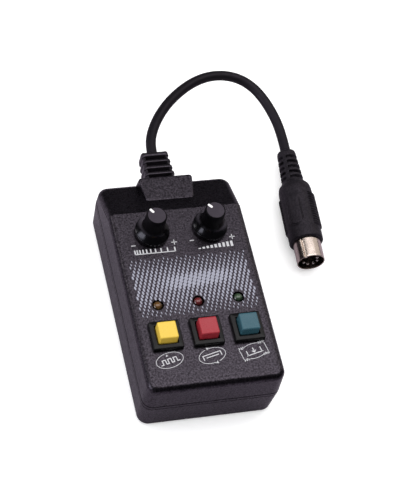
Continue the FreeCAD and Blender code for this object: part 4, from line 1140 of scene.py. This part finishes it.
# ---------------------------------------------------------------- light
def area_light(name, place, target, size, power, colour):
    """Rectangular light; size is (width, height)."""
    light = bpy.data.lights.new(name, "AREA")
    light.shape = "RECTANGLE"
    light.size, light.size_y = size
    light.energy = power
    light.color = colour
    lamp = bpy.data.objects.new(name, light)
    bpy.context.scene.collection.objects.link(lamp)
    lamp.location = place
    lamp.rotation_mode = "QUATERNION"
    lamp.rotation_quaternion = (Vector(target) - Vector(place)).to_track_quat("-Z", "Y")


area_light("top_softbox", place=(0.10, 0.24, 1.10), target=(0.10, 0.24, 0.0),
           size=(1.7, 0.86), power=8.8, colour=(1.0, 0.985, 1.0))
area_light("left_strip", place=(-1.15, -0.10, 0.47), target=(0.0, 0.0, 0.02),
           size=(0.86, 0.56), power=5.4, colour=(0.90, 0.92, 1.0))
area_light("left_card", place=(-0.83, 0.60, 0.58), target=(0.06, 0.02, 0.01),
           size=(0.26, 0.34), power=0.75, colour=(1.0, 0.98, 0.96))
area_light("right_card", place=(0.85, 0.56, 0.50), target=(0.06, 0.02, 0.01),
           size=(0.70, 0.80), power=1.15, colour=(1.0, 0.95, 0.90))


def studio_world():
    """Soft white surround, dim where it would mirror in dark gloss."""
    world = bpy.data.worlds.new("studio_world")
    bpy.context.scene.world = world
    world.use_nodes = True
    nodes, links = world.node_tree.nodes, world.node_tree.links
    nodes.clear()
    output = nodes.new("ShaderNodeOutputWorld")
    light_path = nodes.new("ShaderNodeLightPath")
    mix = nodes.new("ShaderNodeMixShader")
    links.new(light_path.outputs["Is Glossy Ray"], mix.inputs[0])
    # mix input: colour and strength of the surround for other rays (1) and glossy rays (2)
    surrounds = {1: ((1.0, 1.0, 1.0, 1), 0.80), 2: ((0.9, 0.92, 1.0, 1), 0.03)}
    for slot, (colour, strength) in surrounds.items():
        background = nodes.new("ShaderNodeBackground")
        background.inputs["Color"].default_value = colour
        background.inputs["Strength"].default_value = strength
        links.new(background.outputs[0], mix.inputs[slot])
    links.new(mix.outputs[0], output.inputs[0])


studio_world()

# ---------------------------------------------------------------- camera
CAMERA_PLACE = Vector((-0.2344051, -0.4171043, 0.7829424))
CAMERA_AXES = (                         # its right, up and back directions
    Vector((0.95871151, -0.21713331, 0.18364469)),
    Vector((0.0935043, 0.85054956, 0.5175156)),
    Vector((-0.26856878, -0.47897659, 0.83573455)),
)
camera_data = bpy.data.cameras.new("camera")
camera = bpy.data.objects.new("camera", camera_data)
bpy.context.scene.collection.objects.link(camera)
camera_turn = Matrix(CAMERA_AXES).transposed().to_4x4()
camera.matrix_world = Matrix.Translation(CAMERA_PLACE) @ camera_turn
camera_data.sensor_width = 36.0
camera_data.lens = 142.70
camera_data.clip_start, camera_data.clip_end = 0.01, 50.0
bpy.context.scene.camera = camera
bpy.context.scene.view_settings.view_transform = "Standard"
